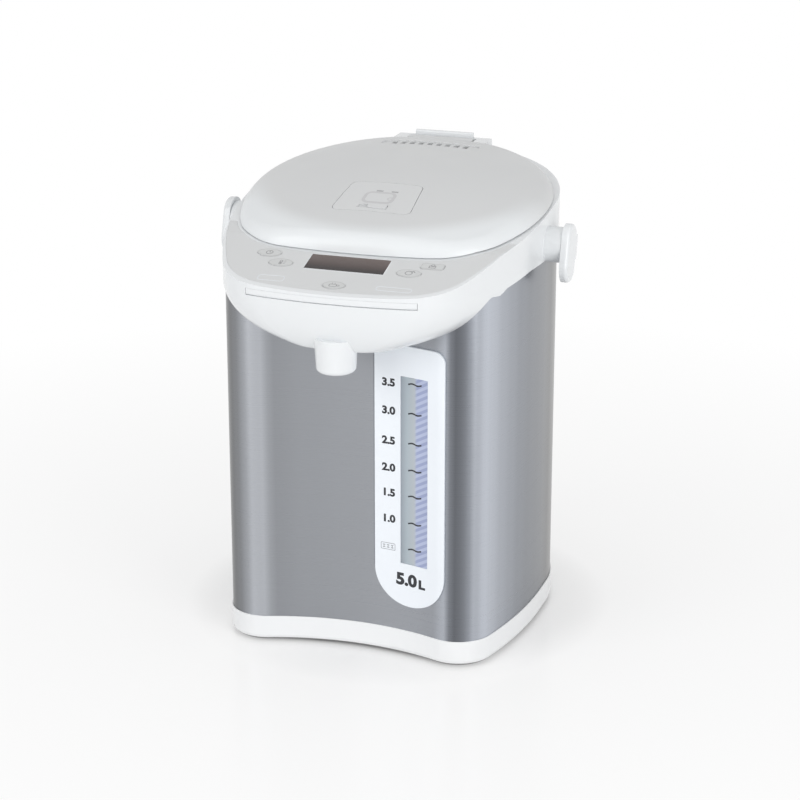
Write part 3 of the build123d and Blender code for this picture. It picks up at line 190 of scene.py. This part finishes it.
# ------------------------------------------------------------------ screws, rods and pins
# Plated steel fasteners, the motor with its magnet, and the valve's ball.  They
# are turned or drawn, so faint streaks run along them.
streak_cells, streak_stretch = 90.0, (1.0, 1.0, 0.15)
plating_grain, plating_relief = 2500.0, 1e-6


def plated_steel(name, dark, light, rough):
    """Plated or drawn steel with faint streaks along its height."""
    material, tree, shader = start_material(name)
    streaks = object_noise(tree, streak_cells, detail=4.0, stretch=streak_stretch)
    tree.links.new(shade_between(tree, streaks, dark, light), shader.inputs["Base Color"])
    add_gloss(tree, shader, streaks, rough * 0.7, rough * 1.3)
    shader.inputs["Metallic"].default_value = 1.0
    add_grain(tree, shader, object_noise(tree, plating_grain, detail=2.0), plating_relief)
    return material


screw_steel = plated_steel("screw_steel", (0.45, 0.45, 0.46), (0.6, 0.6, 0.61), 0.28)
dress(screw_steel, "base_screws", "tie_rods", "pivot_washer", "hinge_pin", "handle_pivots", "board_screws",
      "inlet_pins", "motor_rotor", "pump_motor", "tip_ball", "temperature_sensor")

# ------------------------------------------------------------------ steel case
# The case is one clear-coated stainless sheet with fine hairlines around it.
# They stretch its highlights upwards.  Its colour carries painted reflections in soft upright light and dark
# bands.
case_painted_reflections = (
    # angle around the case from the front in degrees, positive to the right; tone of the painted reflection;
    # blueness
    (-180, 0.33, 0.05), (-120, 0.28, 0.05), (-80, 0.30, 0.05), (-47, 0.27, 0.04), (-44, 0.155, 0.04),
    (-41.5, 0.17, 0.04), (-38.8, 0.237, 0.05), (-35.6, 0.338, 0.07), (-33.5, 0.453, 0.07),
    (-31.4, 0.495, 0.07), (-28.5, 0.323, 0.07), (-20, 0.347, 0.07), (-8, 0.350, 0.07), (8, 0.332, 0.07),
    (29, 0.33, 0.08), (32.8, 0.42, 0.10), (34, 0.20, 0.11), (35.2, 0.155, 0.11), (37, 0.187, 0.11),
    (39.2, 0.275, 0.11), (41.5, 0.45, 0.10), (44.5, 0.58, 0.10), (48, 0.522, 0.10), (53, 0.435, 0.10),
    (59, 0.37, 0.10), (65, 0.308, 0.10), (74, 0.265, 0.09), (84, 0.238, 0.08), (104, 0.205, 0.0),
    (125, 0.28, 0.03), (150, 0.36, 0.05), (180, 0.33, 0.05),
)
hairline_stretch, hairline_tone = (2.0, 2.0, 4200.0), 0.975     # cells in a metre, tone of the darkest line


def brushed_sheet_with_painted_reflections(name):
    """Stainless sheet: painted reflections in upright bands under long fine hairlines."""
    material, tree, shader = start_material(name)
    turn = tree.nodes.new("ShaderNodeMapping")
    turn.inputs["Rotation"].default_value = (0.0, 0.0, radians(90.0))
    around = tree.nodes.new("ShaderNodeTexGradient")
    around.gradient_type = "RADIAL"
    tree.links.new(object_point(tree), turn.inputs["Vector"])
    tree.links.new(turn.outputs["Vector"], around.inputs["Vector"])
    # The upright bands are painted reflections of light and dark surroundings.
    stops = [(0.5 + angle / 360.0, (tone * (1 - blueness / 2), tone, tone * (1 + blueness)))
             for angle, tone, blueness in case_painted_reflections]
    painted_bands = color_stops(tree, around.outputs["Fac"], stops, "EASE")
    lines = object_noise(tree, 1.0, detail=2.0, stretch=hairline_stretch)
    hairlines = shade_between(tree, lines, (hairline_tone, hairline_tone, hairline_tone), (1.0, 1.0, 1.0))
    tree.links.new(mix_colors(tree, 1.0, painted_bands, hairlines, "MULTIPLY"), shader.inputs["Base Color"])
    add_gloss(tree, shader, lines, 0.27, 0.31)
    shader.inputs["Metallic"].default_value = 1.0
    shader.inputs["Anisotropic"].default_value = 0.6
    shader.inputs["Anisotropic Rotation"].default_value = 0.25
    return material


dress(brushed_sheet_with_painted_reflections("case_steel"), "outer_case")

# ------------------------------------------------------------------ level gauge
# A glossy pale plate bonded to the hollow front of the steel, with a window over
# the level tube.  The window's right third carries a printed slanting hatch.
gauge_white = moulded_plastic("gauge_white", (0.87, 0.91, 0.96), (0.89, 0.93, 0.98), 0.18, coat=0.4)
dress(gauge_white, "gauge_frame")

tube_left, tube_right = 0.0355, 0.0470          # where the tube shades the window
hatch_start, hatch_full = 0.0462, 0.0482        # where the hatch begins beside it
hatch_scale, hatch_lean = 76.0, radians(-60.0)
clear_index, flow_cells = 1.49, 30.0            # refraction of clear plastic, its flow lines in a metre
painted_tube_shades = ((0.0, (0.34, 0.38, 0.43)), (0.45, (0.45, 0.52, 0.57)), (1.0, (0.52, 0.56, 0.60)))


def level_window(name):
    """Clear plastic, grey-blue with the tube's painted shade where the tube lies, and hatched beside it."""
    material, tree, shader = start_material(name)
    lean = tree.nodes.new("ShaderNodeMapping")
    lean.inputs["Rotation"].default_value = (0.0, hatch_lean, 0.0)
    slant = tree.nodes.new("ShaderNodeTexWave")
    slant.wave_type = "BANDS"
    slant.bands_direction = "X"
    slant.inputs["Scale"].default_value = hatch_scale
    tree.links.new(object_point(tree), lean.inputs["Vector"])
    tree.links.new(lean.outputs["Vector"], slant.inputs["Vector"])
    hatch = shade_between(tree, slant.outputs["Fac"], (0.37, 0.42, 0.64), (0.51, 0.57, 0.77))
    # Over the tube the window carries the tube's painted shade, darker to the left.
    painted_tube_shade = color_stops(tree, share_along(tree, "X", tube_left, tube_right), painted_tube_shades)
    color = mix_colors(tree, share_along(tree, "X", hatch_start, hatch_full), painted_tube_shade, hatch)
    tree.links.new(color, shader.inputs["Base Color"])
    add_gloss(tree, shader, object_noise(tree, flow_cells), 0.08, 0.12)
    shader.inputs["IOR"].default_value = clear_index
    shader.inputs["Alpha"].default_value = 0.92
    return material


def clear_plastic(name, tint, alpha):
    """Clear moulded plastic with faint flow lines."""
    material, tree, shader = start_material(name)
    flow = object_noise(tree, flow_cells, stretch=(1.0, 1.0, 0.2))
    color = shade_between(tree, flow, tint, tuple(min(1.0, value * 1.06) for value in tint))
    tree.links.new(color, shader.inputs["Base Color"])
    add_gloss(tree, shader, flow, 0.05, 0.12)
    shader.inputs["Alpha"].default_value = alpha
    shader.inputs["IOR"].default_value = clear_index
    return material


dress(level_window("window_hatched"), "gauge_window")
dress(clear_plastic("tube_clear", (0.75, 0.82, 0.86), 0.4), "level_tube")

# ------------------------------------------------------------------ gauge print
# Black figures for litres and slightly waved marks over the tube are screen
# printed on the plate and the window.  The small frame marks the refill line.
ink_black = moulded_plastic("ink_black", (0.014, 0.015, 0.02), (0.022, 0.024, 0.03), 0.4)
print_and_painted_shadow_grey = moulded_plastic("print_and_painted_shadow_grey", (0.20, 0.21, 0.24), (0.25, 0.26, 0.29), 0.4)

front_center, front_radius = -0.287, 0.189      # axis and radius of the steel's hollow front
gauge_proud, window_proud = 0.0016, 0.0011      # how far plate and window stand proud of the steel
ink, font_share = 0.00004, 0.7                  # thickness of print; a figure's height in its font size
oval_sides, corner_sides = 48, 5                # straight sides of an oval and of a rounded corner


def front_y(x, proud):
    """Where the hollow front lies at x, proud of the steel by a margin."""
    return front_center + sqrt((front_radius - proud) ** 2 - x ** 2)


def wrap_on_front(mesh, proud):
    """Lays a mesh drawn in x and y on the hollow front, its z outwards."""
    for vertex in mesh.vertices:
        x, z, out = vertex.co
        vertex.co = (x, front_y(x, proud + out), z)
    mesh.update()


def add_print(name, mesh, body, material):
    """A finished printed piece that moves with a body."""
    piece = bpy.data.objects.new(name, mesh)
    bpy.context.scene.collection.objects.link(piece)
    mesh.materials.append(material)
    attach(piece, body)


def text_mesh(words, height, weight):
    """Printed figures around the origin, as a mesh in x and y."""
    curve = bpy.data.curves.new("figures", "FONT")
    curve.body = words
    curve.size = height / font_share
    curve.align_x = "CENTER"
    curve.align_y = "CENTER"
    curve.offset = weight
    curve.extrude = ink / 2
    lettering = bpy.data.objects.new("figures", curve)
    mesh = bpy.data.meshes.new_from_object(lettering)
    bpy.data.objects.remove(lettering)
    return mesh


def print_figures(words, x, z, height, weight, stretch):
    """Printed figures on the gauge plate, centred at x and z."""
    mesh = text_mesh(words, height, weight)
    mesh.transform(Matrix.Translation((x, z, ink)) @ Matrix.Scale(stretch, 4, (1, 0, 0)))
    wrap_on_front(mesh, gauge_proud)
    add_print("figures_" + words.replace(".", "_"), mesh, "pot", ink_black)


def flat_sheet(sheet, name, place, height):
    """Gives a flat drawing its thickness and its place, and returns it as a mesh."""
    bmesh.ops.solidify(sheet, geom=sheet.faces[:], thickness=height)
    bmesh.ops.recalc_face_normals(sheet, faces=sheet.faces[:])
    lowest = min(vertex.co.z for vertex in sheet.verts)
    bmesh.ops.translate(sheet, verts=sheet.verts[:], vec=(0.0, 0.0, -lowest))
    bmesh.ops.transform(sheet, matrix=place, verts=sheet.verts[:])
    mesh = bpy.data.meshes.new(name)
    sheet.to_mesh(mesh)
    sheet.free()
    return mesh


def draw_bar(sheet, width, height, center=(0.0, 0.0), turn=0.0):
    """Adds a straight bar to a drawing."""
    size = Matrix.Diagonal((width / 2, height / 2, 1.0, 1.0))
    place = Matrix.Translation((*center, 0.0)) @ Matrix.Rotation(turn, 4, "Z") @ size
    bmesh.ops.create_grid(sheet, x_segments=1, y_segments=1, size=1.0, matrix=place)


def add_outline(sheet, filled, line, center):
    """Leaves a line's width of a filled form and adds it to a drawing."""
    inner = filled.faces[:]
    bmesh.ops.inset_region(filled, faces=inner, thickness=line, use_even_offset=True, use_boundary=True)
    bmesh.ops.delete(filled, geom=inner, context="FACES")
    bmesh.ops.translate(filled, verts=filled.verts[:], vec=(*center, 0.0))
    carried = bpy.data.meshes.new("outline")
    filled.to_mesh(carried)
    filled.free()
    sheet.from_mesh(carried)
    bpy.data.meshes.remove(carried)


def draw_frame(sheet, width, height, corner, line, center=(0.0, 0.0)):
    """Adds the outline of a rounded rectangle to a drawing."""
    filled = bmesh.new()
    draw_bar(filled, width, height)
    bmesh.ops.bevel(filled, geom=filled.verts[:], offset=corner, segments=corner_sides, profile=0.5,
                    affect="VERTICES", material=-1)
    add_outline(sheet, filled, line, center)


def draw_oval(sheet, width, height, line, center=(0.0, 0.0)):
    """Adds the outline of an oval to a drawing."""
    filled = bmesh.new()
    bmesh.ops.create_circle(filled, cap_ends=True, segments=oval_sides, radius=0.5,
                            matrix=Matrix.Diagonal((width, height, 1.0, 1.0)))
    add_outline(sheet, filled, line, center)


figure_x, figure_height, figure_weight, figure_stretch = 0.0262, 0.0053, 0.00034, 1.1
figure_levels = {"3.5": 0.2054, "3.0": 0.1848, "2.5": 0.1627, "2.0": 0.1426, "1.5": 0.1238, "1.0": 0.1041}
for litres, level in figure_levels.items():
    print_figures(litres, figure_x, level, figure_height, figure_weight, figure_stretch)
print_figures("5.0", x=0.0402, z=0.0596, height=0.0084, weight=0.00060, stretch=1.12)
print_figures("L", x=0.0524, z=0.0584, height=0.0062, weight=0.00050, stretch=1.15)

# Each mark dips and rises a little over the round tube behind the window.
mark_left, mark_right, mark_line = 0.0413, 0.0519, 0.00115
mark_dip, mark_half_waves = 0.0009, 2.6
mark_width, mark_middle = mark_right - mark_left, (mark_left + mark_right) / 2
for step, level in enumerate((0.2066, 0.1850, 0.1630, 0.1431, 0.1237, 0.1034, 0.0836)):
    mark = bmesh.new()
    draw_bar(mark, mark_width, mark_line)
    bmesh.ops.subdivide_edges(mark, edges=mark.edges[:], cuts=11, use_grid_fill=True)
    for vertex in mark.verts:
        vertex.co.y -= mark_dip * sin(mark_half_waves * pi * vertex.co.x / mark_width) / 2
    mark_mesh = flat_sheet(mark, "mark", Matrix.Translation((mark_middle, level, 0.0)), ink)
    wrap_on_front(mark_mesh, window_proud)
    add_print(f"level_mark_{step + 1}", mark_mesh, "pot", ink_black)

# Three plain signs stand in a frame at the refill line.
refill_x, refill_z = 0.0257, 0.0831
sign_step, sign_width, sign_height, sign_bar, sign_stroke = 0.0032, 0.0021, 0.0026, 0.0009, 0.00042
refill = bmesh.new()
draw_frame(refill, width=0.0112, height=0.0052, corner=0.0006, line=0.00035)
for column in (-sign_step, 0.0, sign_step):
    draw_bar(refill, sign_width, sign_stroke, (column, sign_bar))
    draw_bar(refill, sign_width, sign_stroke, (column, -sign_bar))
    draw_bar(refill, sign_stroke, sign_height, (column, 0.0))
longest_straight = 0.004                        # longer edges are divided to follow the hollow front
long_edges = [edge for edge in refill.edges if edge.calc_length() > longest_straight]
bmesh.ops.subdivide_edges(refill, edges=long_edges, cuts=6)
refill_mesh = flat_sheet(refill, "refill_frame", Matrix.Translation((refill_x, refill_z, 0.0)), ink)
wrap_on_front(refill_mesh, gauge_proud)
add_print("refill_frame", refill_mesh, "pot", print_and_painted_shadow_grey)

# A thin dark strip of painted shadow lies along the plate's left edge.
edge_shadow_width, edge_shadow_length, edge_shadow_x, edge_shadow_z, edge_shadow_height = 0.0012, 0.166, 0.0149, 0.150, 4 * ink
painted_edge_shadow = bmesh.new()
draw_bar(painted_edge_shadow, edge_shadow_width, edge_shadow_length)
edge_shadow_mesh = flat_sheet(painted_edge_shadow, "painted_edge_shadow", Matrix.Translation((edge_shadow_x, edge_shadow_z, 0.0)), edge_shadow_height)
wrap_on_front(edge_shadow_mesh, 0.0)
add_print("gauge_edge_painted_shadow", edge_shadow_mesh, "pot", print_and_painted_shadow_grey)

# ------------------------------------------------------------------ container and heating
# The container, its strainer and the lid's inner plate are drawn stainless sheet.
# The heater plate and the keep-warm band around the container are aluminium.
container_steel = plated_steel("container_steel", (0.50, 0.50, 0.50), (0.62, 0.62, 0.61), 0.18)
dress(container_steel, "inner_container", "inner_plate", "strainer")
cast_aluminium = plated_steel("cast_aluminium", (0.48, 0.48, 0.49), (0.58, 0.58, 0.59), 0.5)
dress(cast_aluminium, "heater_plate", "keep_warm_band")

# ------------------------------------------------------------------ inner mouldings
# The pump, valve and steam duct are heat resistant grey mouldings, the socket, the
# thermostats and the fuse are black.  Hoses, seals and bellows are silicone.
grey_moulding = moulded_plastic("grey_moulding", (0.10, 0.105, 0.11), (0.14, 0.145, 0.15), 0.5)
dress(grey_moulding, "pump_housing", "pump_impeller", "pump_cover", "tip_valve", "steam_duct")
black_moulding = moulded_plastic("black_moulding", (0.012, 0.012, 0.013), (0.024, 0.024, 0.025), 0.45)
dress(black_moulding, "power_inlet", "thermostats", "thermal_fuse")
seal_silicone = moulded_plastic("seal_silicone", (0.50, 0.50, 0.48), (0.58, 0.58, 0.56), 0.5)
dress(seal_silicone, "inlet_hose", "riser_elbow", "outlet_hose", "rim_seal", "lid_gasket", "air_bellows")
board_green = moulded_plastic("board_green", (0.012, 0.09, 0.03), (0.02, 0.13, 0.045), 0.35)
dress(board_green, "control_board", "power_board")

# ------------------------------------------------------------------ control panel
# A printed pale grey film is bonded to the sloping panel.  Five keys stand a
# little proud of it, each with a thin outline and a small symbol.
film_grey = moulded_plastic("film_grey", (0.685, 0.695, 0.70), (0.70, 0.71, 0.715), 0.3, grain=1800.0,
                            height=1e-6)
key_grey = moulded_plastic("key_grey", (0.64, 0.65, 0.65), (0.655, 0.665, 0.665), 0.36)
key_ink = moulded_plastic("key_ink", (0.32, 0.32, 0.33), (0.37, 0.37, 0.38), 0.45)
line_ink = moulded_plastic("line_ink", (0.52, 0.53, 0.53), (0.56, 0.57, 0.57), 0.45)
dress(film_grey, "control_film")
dress(key_grey, "timer_key", "temperature_key", "reboil_key", "lock_key", "dispense_key")

panel_slope, panel_y, panel_z = 0.266, -0.110, 0.290368         # its slope, and one line on the film
panel_angle = atan(panel_slope)
key_proud, symbol_ink = 0.0004, 0.00005         # how far a key stands proud, thickness of print


def on_panel(x, y, lift):
    """The place of a drawing on the sloping panel, over the point x and y."""
    rise = panel_z + panel_slope * (y - panel_y)
    tilt = Matrix.Rotation(panel_angle, 4, "X")
    return Matrix.Translation((x, y, rise)) @ tilt @ Matrix.Translation((0.0, 0.0, lift))


key_places = {
    # x and y of the key's middle, its width and its height
    "timer_key": (-0.059, -0.1045, 0.0174, 0.0100),
    "temperature_key": (-0.0465, -0.116, 0.0174, 0.0100),
    "reboil_key": (0.0455, -0.1155, 0.0174, 0.0100),
    "lock_key": (0.059, -0.1045, 0.0164, 0.0076),
    "dispense_key": (0.0, -0.1385, 0.0160, 0.0096),
}
key_line, key_margin, lock_corner = 0.0003, 0.0006, 0.0017
for key, (x, y, width, height) in key_places.items():
    edge_line = bmesh.new()
    if key == "lock_key":
        draw_frame(edge_line, width - key_margin, height - key_margin, lock_corner, key_line)
    else:
        draw_oval(edge_line, width - key_margin, height - key_margin, key_line)
    line_mesh = flat_sheet(edge_line, key, on_panel(x, y, key_proud), symbol_ink)
    add_print(f"{key}_line", line_mesh, key, line_ink)


def draw_clock(symbol):
    """A round dial with two hands."""
    draw_oval(symbol, 0.0052, 0.0052, 0.0006)
    draw_bar(symbol, 0.0005, 0.0019, (0.0, 0.0008))
    draw_bar(symbol, 0.0016, 0.0005, (0.0006, 0.0))


def draw_thermometer(symbol):
    """A tube with its column and three short lines beside it."""
    draw_frame(symbol, 0.0021, 0.0056, 0.0009, 0.0005)
    draw_bar(symbol, 0.0007, 0.0028, (0.0, -0.0006))
    for rung in (-0.0012, 0.0004, 0.0020):
        draw_bar(symbol, 0.0014, 0.0004, (0.0027, rung))


def draw_turning_arrow(symbol):
    """A ring with an arrow's head at its upper right."""
    draw_oval(symbol, 0.0054, 0.0054, 0.0006)
    draw_bar(symbol, 0.0024, 0.0007, (0.0020, 0.0021), radians(45.0))
    draw_bar(symbol, 0.0024, 0.0007, (0.0034, 0.0019), radians(-50.0))


def draw_padlock(symbol):
    """A low body with a round shackle over it."""
    draw_frame(symbol, 0.0050, 0.0030, 0.0004, 0.0006, (0.0, -0.0009))
    draw_oval(symbol, 0.0030, 0.0032, 0.0005, (0.0, 0.0009))


def draw_cup(symbol):
    """A cup with its ear at the right and two short lines over it."""
    draw_frame(symbol, 0.0056, 0.0034, 0.0010, 0.0005, (-0.0004, -0.0006))
    draw_oval(symbol, 0.0022, 0.0020, 0.0004, (0.0032, -0.0004))
    draw_bar(symbol, 0.0004, 0.0012, (-0.0016, 0.0021))
    draw_bar(symbol, 0.0004, 0.0012, (0.0004, 0.0021))


key_symbols = {"timer_key": draw_clock, "temperature_key": draw_thermometer,
               "reboil_key": draw_turning_arrow, "lock_key": draw_padlock, "dispense_key": draw_cup}
for key, draw_symbol in key_symbols.items():
    x, y = key_places[key][:2]
    symbol = bmesh.new()
    draw_symbol(symbol)
    symbol_mesh = flat_sheet(symbol, f"{key}_symbol", on_panel(x, y, key_proud), symbol_ink)
    add_print(f"{key}_symbol", symbol_mesh, key, key_ink)

# Two long faint pale outlines lie on the film beside the dispense key.
field_corner, field_line = 0.0022, 0.0004
for name, x, y, width, height in (("field_left", -0.046, -0.1360, 0.0190, 0.0070),
                                  ("field_right", 0.042, -0.1370, 0.0250, 0.0055)):
    field = bmesh.new()
    draw_frame(field, width, height, field_corner, field_line)
    field_mesh = flat_sheet(field, name, on_panel(x, y, 0.0), symbol_ink)
    add_print(name, field_mesh, "pot", gauge_white)

# ------------------------------------------------------------------ display window
# A dark tinted window is pressed into the panel over the liquid crystal glass.
# The glass is brown, lighter to the rear, and a thin white line runs around it.
window_y, window_width, window_depth = -0.1105, 0.0570, 0.0194
glass_browns = ((0.0, (0.020, 0.014, 0.014)), (0.16, (0.024, 0.016, 0.016)), (0.42, (0.072, 0.050, 0.046)),
                (0.72, (0.125, 0.095, 0.088)), (1.0, (0.165, 0.130, 0.120)))


def display_glass(name):
    """Dark brown glass, blackest along its front edge."""
    material, tree, shader = start_material(name)
    to_rear = share_along(tree, "Y", window_y - window_depth / 2, window_y + window_depth / 2)
    tree.links.new(color_stops(tree, to_rear, glass_browns), shader.inputs["Base Color"])
    add_gloss(tree, shader, object_noise(tree, 60.0), 0.16, 0.2)
    shader.inputs["Specular IOR Level"].default_value = 0.3
    return material


dress(display_glass("display_glass"), "display_lens")
line_margin, line_corner, line_width = 0.0016, 0.0004, 0.0007
window_line = bmesh.new()
draw_frame(window_line, window_width + line_margin, window_depth + line_margin, line_corner, line_width)
window_mesh = flat_sheet(window_line, "window_line", on_panel(0.0, window_y, 0.0), symbol_ink)
add_print("window_line", window_mesh, "pot", glossy_white)

# ------------------------------------------------------------------ lid
# The domed lid, its press plate and slider are satin white mouldings.  A dark
# olive tray closes the lid from below and shows as the thin line of its seam.
satin_dark, satin_light = (0.70, 0.71, 0.715), (0.715, 0.725, 0.73)
satin_grain, satin_relief = 700.0, 3e-6
satin_white = moulded_plastic("satin_white", satin_dark, satin_light, 0.36, coat=0.1, grain=satin_grain,
                              height=satin_relief)
tray_olive = moulded_plastic("tray_olive", (0.17, 0.165, 0.14), (0.21, 0.205, 0.18), 0.5)
dress(satin_white, "press_plate", "lock_slider")
dress(tray_olive, "lid_tray")

lid_half_width, lid_half_depth = 0.111, 0.098   # the oval that the painted highlight along the edge follows
painted_highlight_inside, painted_highlight_outside = 0.80, 0.98          # where it begins and is full, in shares of the oval
painted_highlight_none, painted_highlight_full = 0.0, -0.045              # y of the lid's middle and of its front, where it is full


def combine(tree, operation, first, second):
    """Two values made one, such as by MULTIPLY or MAXIMUM."""
    step = tree.nodes.new("ShaderNodeMath")
    step.operation = operation
    tree.links.new(first, step.inputs[0])
    tree.links.new(second, step.inputs[1])
    return step.outputs["Value"]


def length_of(tree, vector):
    """The length of a vector."""
    way = tree.nodes.new("ShaderNodeVectorMath")
    way.operation = "LENGTH"
    tree.links.new(vector, way.inputs[0])
    return way.outputs["Value"]


def lid_moulding(name):
    """The lid's satin white, with a painted highlight along its rounded front edge."""
    material, tree, shader = start_material(name)
    oval = tree.nodes.new("ShaderNodeMapping")
    oval.inputs["Scale"].default_value = (1 / lid_half_width, 1 / lid_half_depth, 0.0)
    tree.links.new(object_point(tree), oval.inputs["Vector"])
    reach = length_of(tree, oval.outputs["Vector"])
    edge = map_range(tree, reach, painted_highlight_inside, painted_highlight_outside, interpolation="SMOOTHSTEP")
    share = combine(tree, "MULTIPLY", edge, share_along(tree, "Y", painted_highlight_none, painted_highlight_full))
    clouds = object_noise(tree, cloud_cells, detail=1.0)
    satin = shade_between(tree, clouds, (0.685, 0.695, 0.70), satin_dark)
    # The lighter colour along the front edge is a painted highlight.
    color = mix_colors(tree, share, satin, (0.83, 0.855, 0.87, 1.0))
    tree.links.new(color, shader.inputs["Base Color"])
    add_gloss(tree, shader, object_noise(tree, wear_cells, detail=2.0), 0.33, 0.39)
    add_grain(tree, shader, object_noise(tree, satin_grain, detail=2.0), satin_relief)
    return material


dress(lid_moulding("lid_white"), "lid_shell")

# The hollow under the vent's slots is painted dark as their shade.
vent_painted_shade_to, vent_white_from = 0.3316, 0.3324          # heights of the hollow under the vent's slots
vent_white = shadowed_plastic("vent_white", vent_painted_shade_to, vent_white_from, (0.02, 0.02, 0.02),
                              satin_dark, satin_light, gloss=(0.36, 0.42))
dress(vent_white, "steam_grille")

# ------------------------------------------------------------------ press plate mark
# A pot symbol is printed on the press plate: a round-bottomed outline under a
# darker lid line, with a small circle at its right.
dome_radius, dome_rise = 0.500, 0.020           # the lid's dome and how far its top stands over its rim
rim_height, rim_slope = 0.310, 0.15             # the rim's plane: its height in the middle, its slope
rim_angle = atan(rim_slope)
dome_center = Vector((0.0, sin(rim_angle) * (dome_radius - dome_rise),
                      rim_height - cos(rim_angle) * (dome_radius - dome_rise)))
mark_place = Matrix.Translation((0.0005, -0.0450, 0.0))


def wrap_on_dome(mesh):
    """Lays a mesh drawn in x and y on the domed lid, its z outwards."""
    for vertex in mesh.vertices:
        x, y, out = vertex.co
        over = sqrt((dome_radius + out) ** 2 - (x - dome_center.x) ** 2 - (y - dome_center.y) ** 2)
        vertex.co = (x, y, dome_center.z + over)
    mesh.update()


mark_grey = moulded_plastic("mark_grey", (0.60, 0.60, 0.61), (0.63, 0.63, 0.64), 0.45)
mark_dark = moulded_plastic("mark_dark", (0.40, 0.40, 0.41), (0.44, 0.44, 0.45), 0.45)
pot_mark = bmesh.new()
draw_frame(pot_mark, width=0.0235, height=0.0170, corner=0.0055, line=0.0024)
draw_oval(pot_mark, width=0.0046, height=0.0046, line=0.0009, center=(0.0086, -0.0010))
lid_mark = bmesh.new()
draw_bar(lid_mark, width=0.0160, height=0.0018, center=(0.0030, 0.0098))
for name, drawing, shade in (("pot_mark", pot_mark, mark_grey), ("lid_mark", lid_mark, mark_dark)):
    mark_mesh = flat_sheet(drawing, name, mark_place, symbol_ink)
    wrap_on_dome(mark_mesh)
    add_print(name, mark_mesh, "press", shade)

# ------------------------------------------------------------------ studio
# A white floor and a plain white surround, with three large soft lamps.  The
# floor keeps the shadow near the pot and turns plain white further out.
floor_size = 6.0
floor_fade = ((0.0, 0.0), (0.10, 0.1), (0.16, 0.68), (0.22, 0.74), (0.75, 1.0))    # distance, share of white
plain_white = (1.0, 1.0, 1.0, 1.0)
bpy.ops.mesh.primitive_plane_add(size=floor_size, location=(0, 0, 0))
floor = bpy.context.object
floor.name = "studio_floor"


def seen_share(tree):
    """One for what the camera, mirrors and glass see, otherwise zero."""
    path = tree.nodes.new("ShaderNodeLightPath").outputs
    either = combine(tree, "MAXIMUM", path["Is Camera Ray"], path["Is Glossy Ray"])
    return combine(tree, "MAXIMUM", either, path["Is Transmission Ray"])


def mix_white(tree, share, lit, white, surface):
    """Mixes plain white over what is lit, by a share."""
    white.inputs["Color"].default_value = plain_white
    white.inputs["Strength"].default_value = 1.0
    mix = tree.nodes.new("ShaderNodeMixShader")
    tree.links.new(share, mix.inputs["Fac"])
    tree.links.new(lit.outputs[0], mix.inputs[1])
    tree.links.new(white.outputs[0], mix.inputs[2])
    tree.links.new(mix.outputs[0], surface)


def fading_floor(name):
    """A pale floor that turns plain white with its distance from the pot's axis."""
    material, tree, shader = start_material(name)
    shader.inputs["Base Color"].default_value = (0.94, 0.94, 0.94, 1.0)
    shader.inputs["Roughness"].default_value = 0.22
    stops = [(reach, (share, share, share)) for reach, share in floor_fade]
    fade = color_stops(tree, length_of(tree, object_point(tree)), stops)
    share = combine(tree, "MULTIPLY", seen_share(tree), fade)
    output = next(node for node in tree.nodes if node.type == "OUTPUT_MATERIAL")
    mix_white(tree, share, shader, tree.nodes.new("ShaderNodeEmission"), output.inputs["Surface"])
    return material


floor.data.materials.append(fading_floor("floor_paint"))

world = bpy.data.worlds.new("studio")
world.use_nodes = True
bpy.context.scene.world = world
world_tree = world.node_tree
surround = world_tree.nodes["Background"]
surround.inputs["Color"].default_value = plain_white
surround.inputs["Strength"].default_value = 0.47
mix_white(world_tree, seen_share(world_tree), surround, world_tree.nodes.new("ShaderNodeBackground"),
          world_tree.nodes["World Output"].inputs["Surface"])

lamp_aim = Vector((0.0, 0.0, 0.2))


def soft_lamp(name, place, width, height, power):
    """A rectangular soft lamp that faces the pot."""
    light = bpy.data.lights.new(name, "AREA")
    light.shape = "RECTANGLE"
    light.size = width
    light.size_y = height
    light.energy = power
    lamp = bpy.data.objects.new(name, light)
    lamp.location = place
    lamp.rotation_euler = (lamp_aim - Vector(place)).to_track_quat("-Z", "Y").to_euler()
    bpy.context.scene.collection.objects.link(lamp)


soft_lamp("lamp_left", (-0.9, -1.3, 0.82), width=0.9, height=1.2, power=9.4)
soft_lamp("lamp_right", (1.2, -0.9, 0.75), width=0.8, height=1.2, power=10.4)
soft_lamp("lamp_top", (0.0, 0.2, 1.5), width=1.4, height=1.4, power=1.2)

# ------------------------------------------------------------------ camera
# Above the lid and turned somewhat to the right side of the pot, with a long lens.
# Focal length, picture width and shift are in pixels, the sensor in millimetres.
view_azimuth, view_elevation = radians(18.264), radians(18.713)
view_distance, view_target = 1.74048, Vector((0.00259, 0.0, 0.15735))
view_focal, picture_width, picture_shift, sensor = 2349.15, 800.0, -2.0, 36.0
view_back = Vector((sin(view_azimuth) * cos(view_elevation), -cos(view_azimuth) * cos(view_elevation),
                    sin(view_elevation)))
camera_data = bpy.data.cameras.new("camera")
camera_data.sensor_width = sensor
camera_data.lens = view_focal / picture_width * sensor
camera_data.shift_x = picture_shift / picture_width
camera = bpy.data.objects.new("camera", camera_data)
camera.location = view_target + view_back * view_distance
camera.rotation_euler = view_back.to_track_quat("Z", "Y").to_euler()
bpy.context.scene.collection.objects.link(camera)
bpy.context.scene.camera = camera
bpy.context.scene.view_settings.view_transform = "Standard"
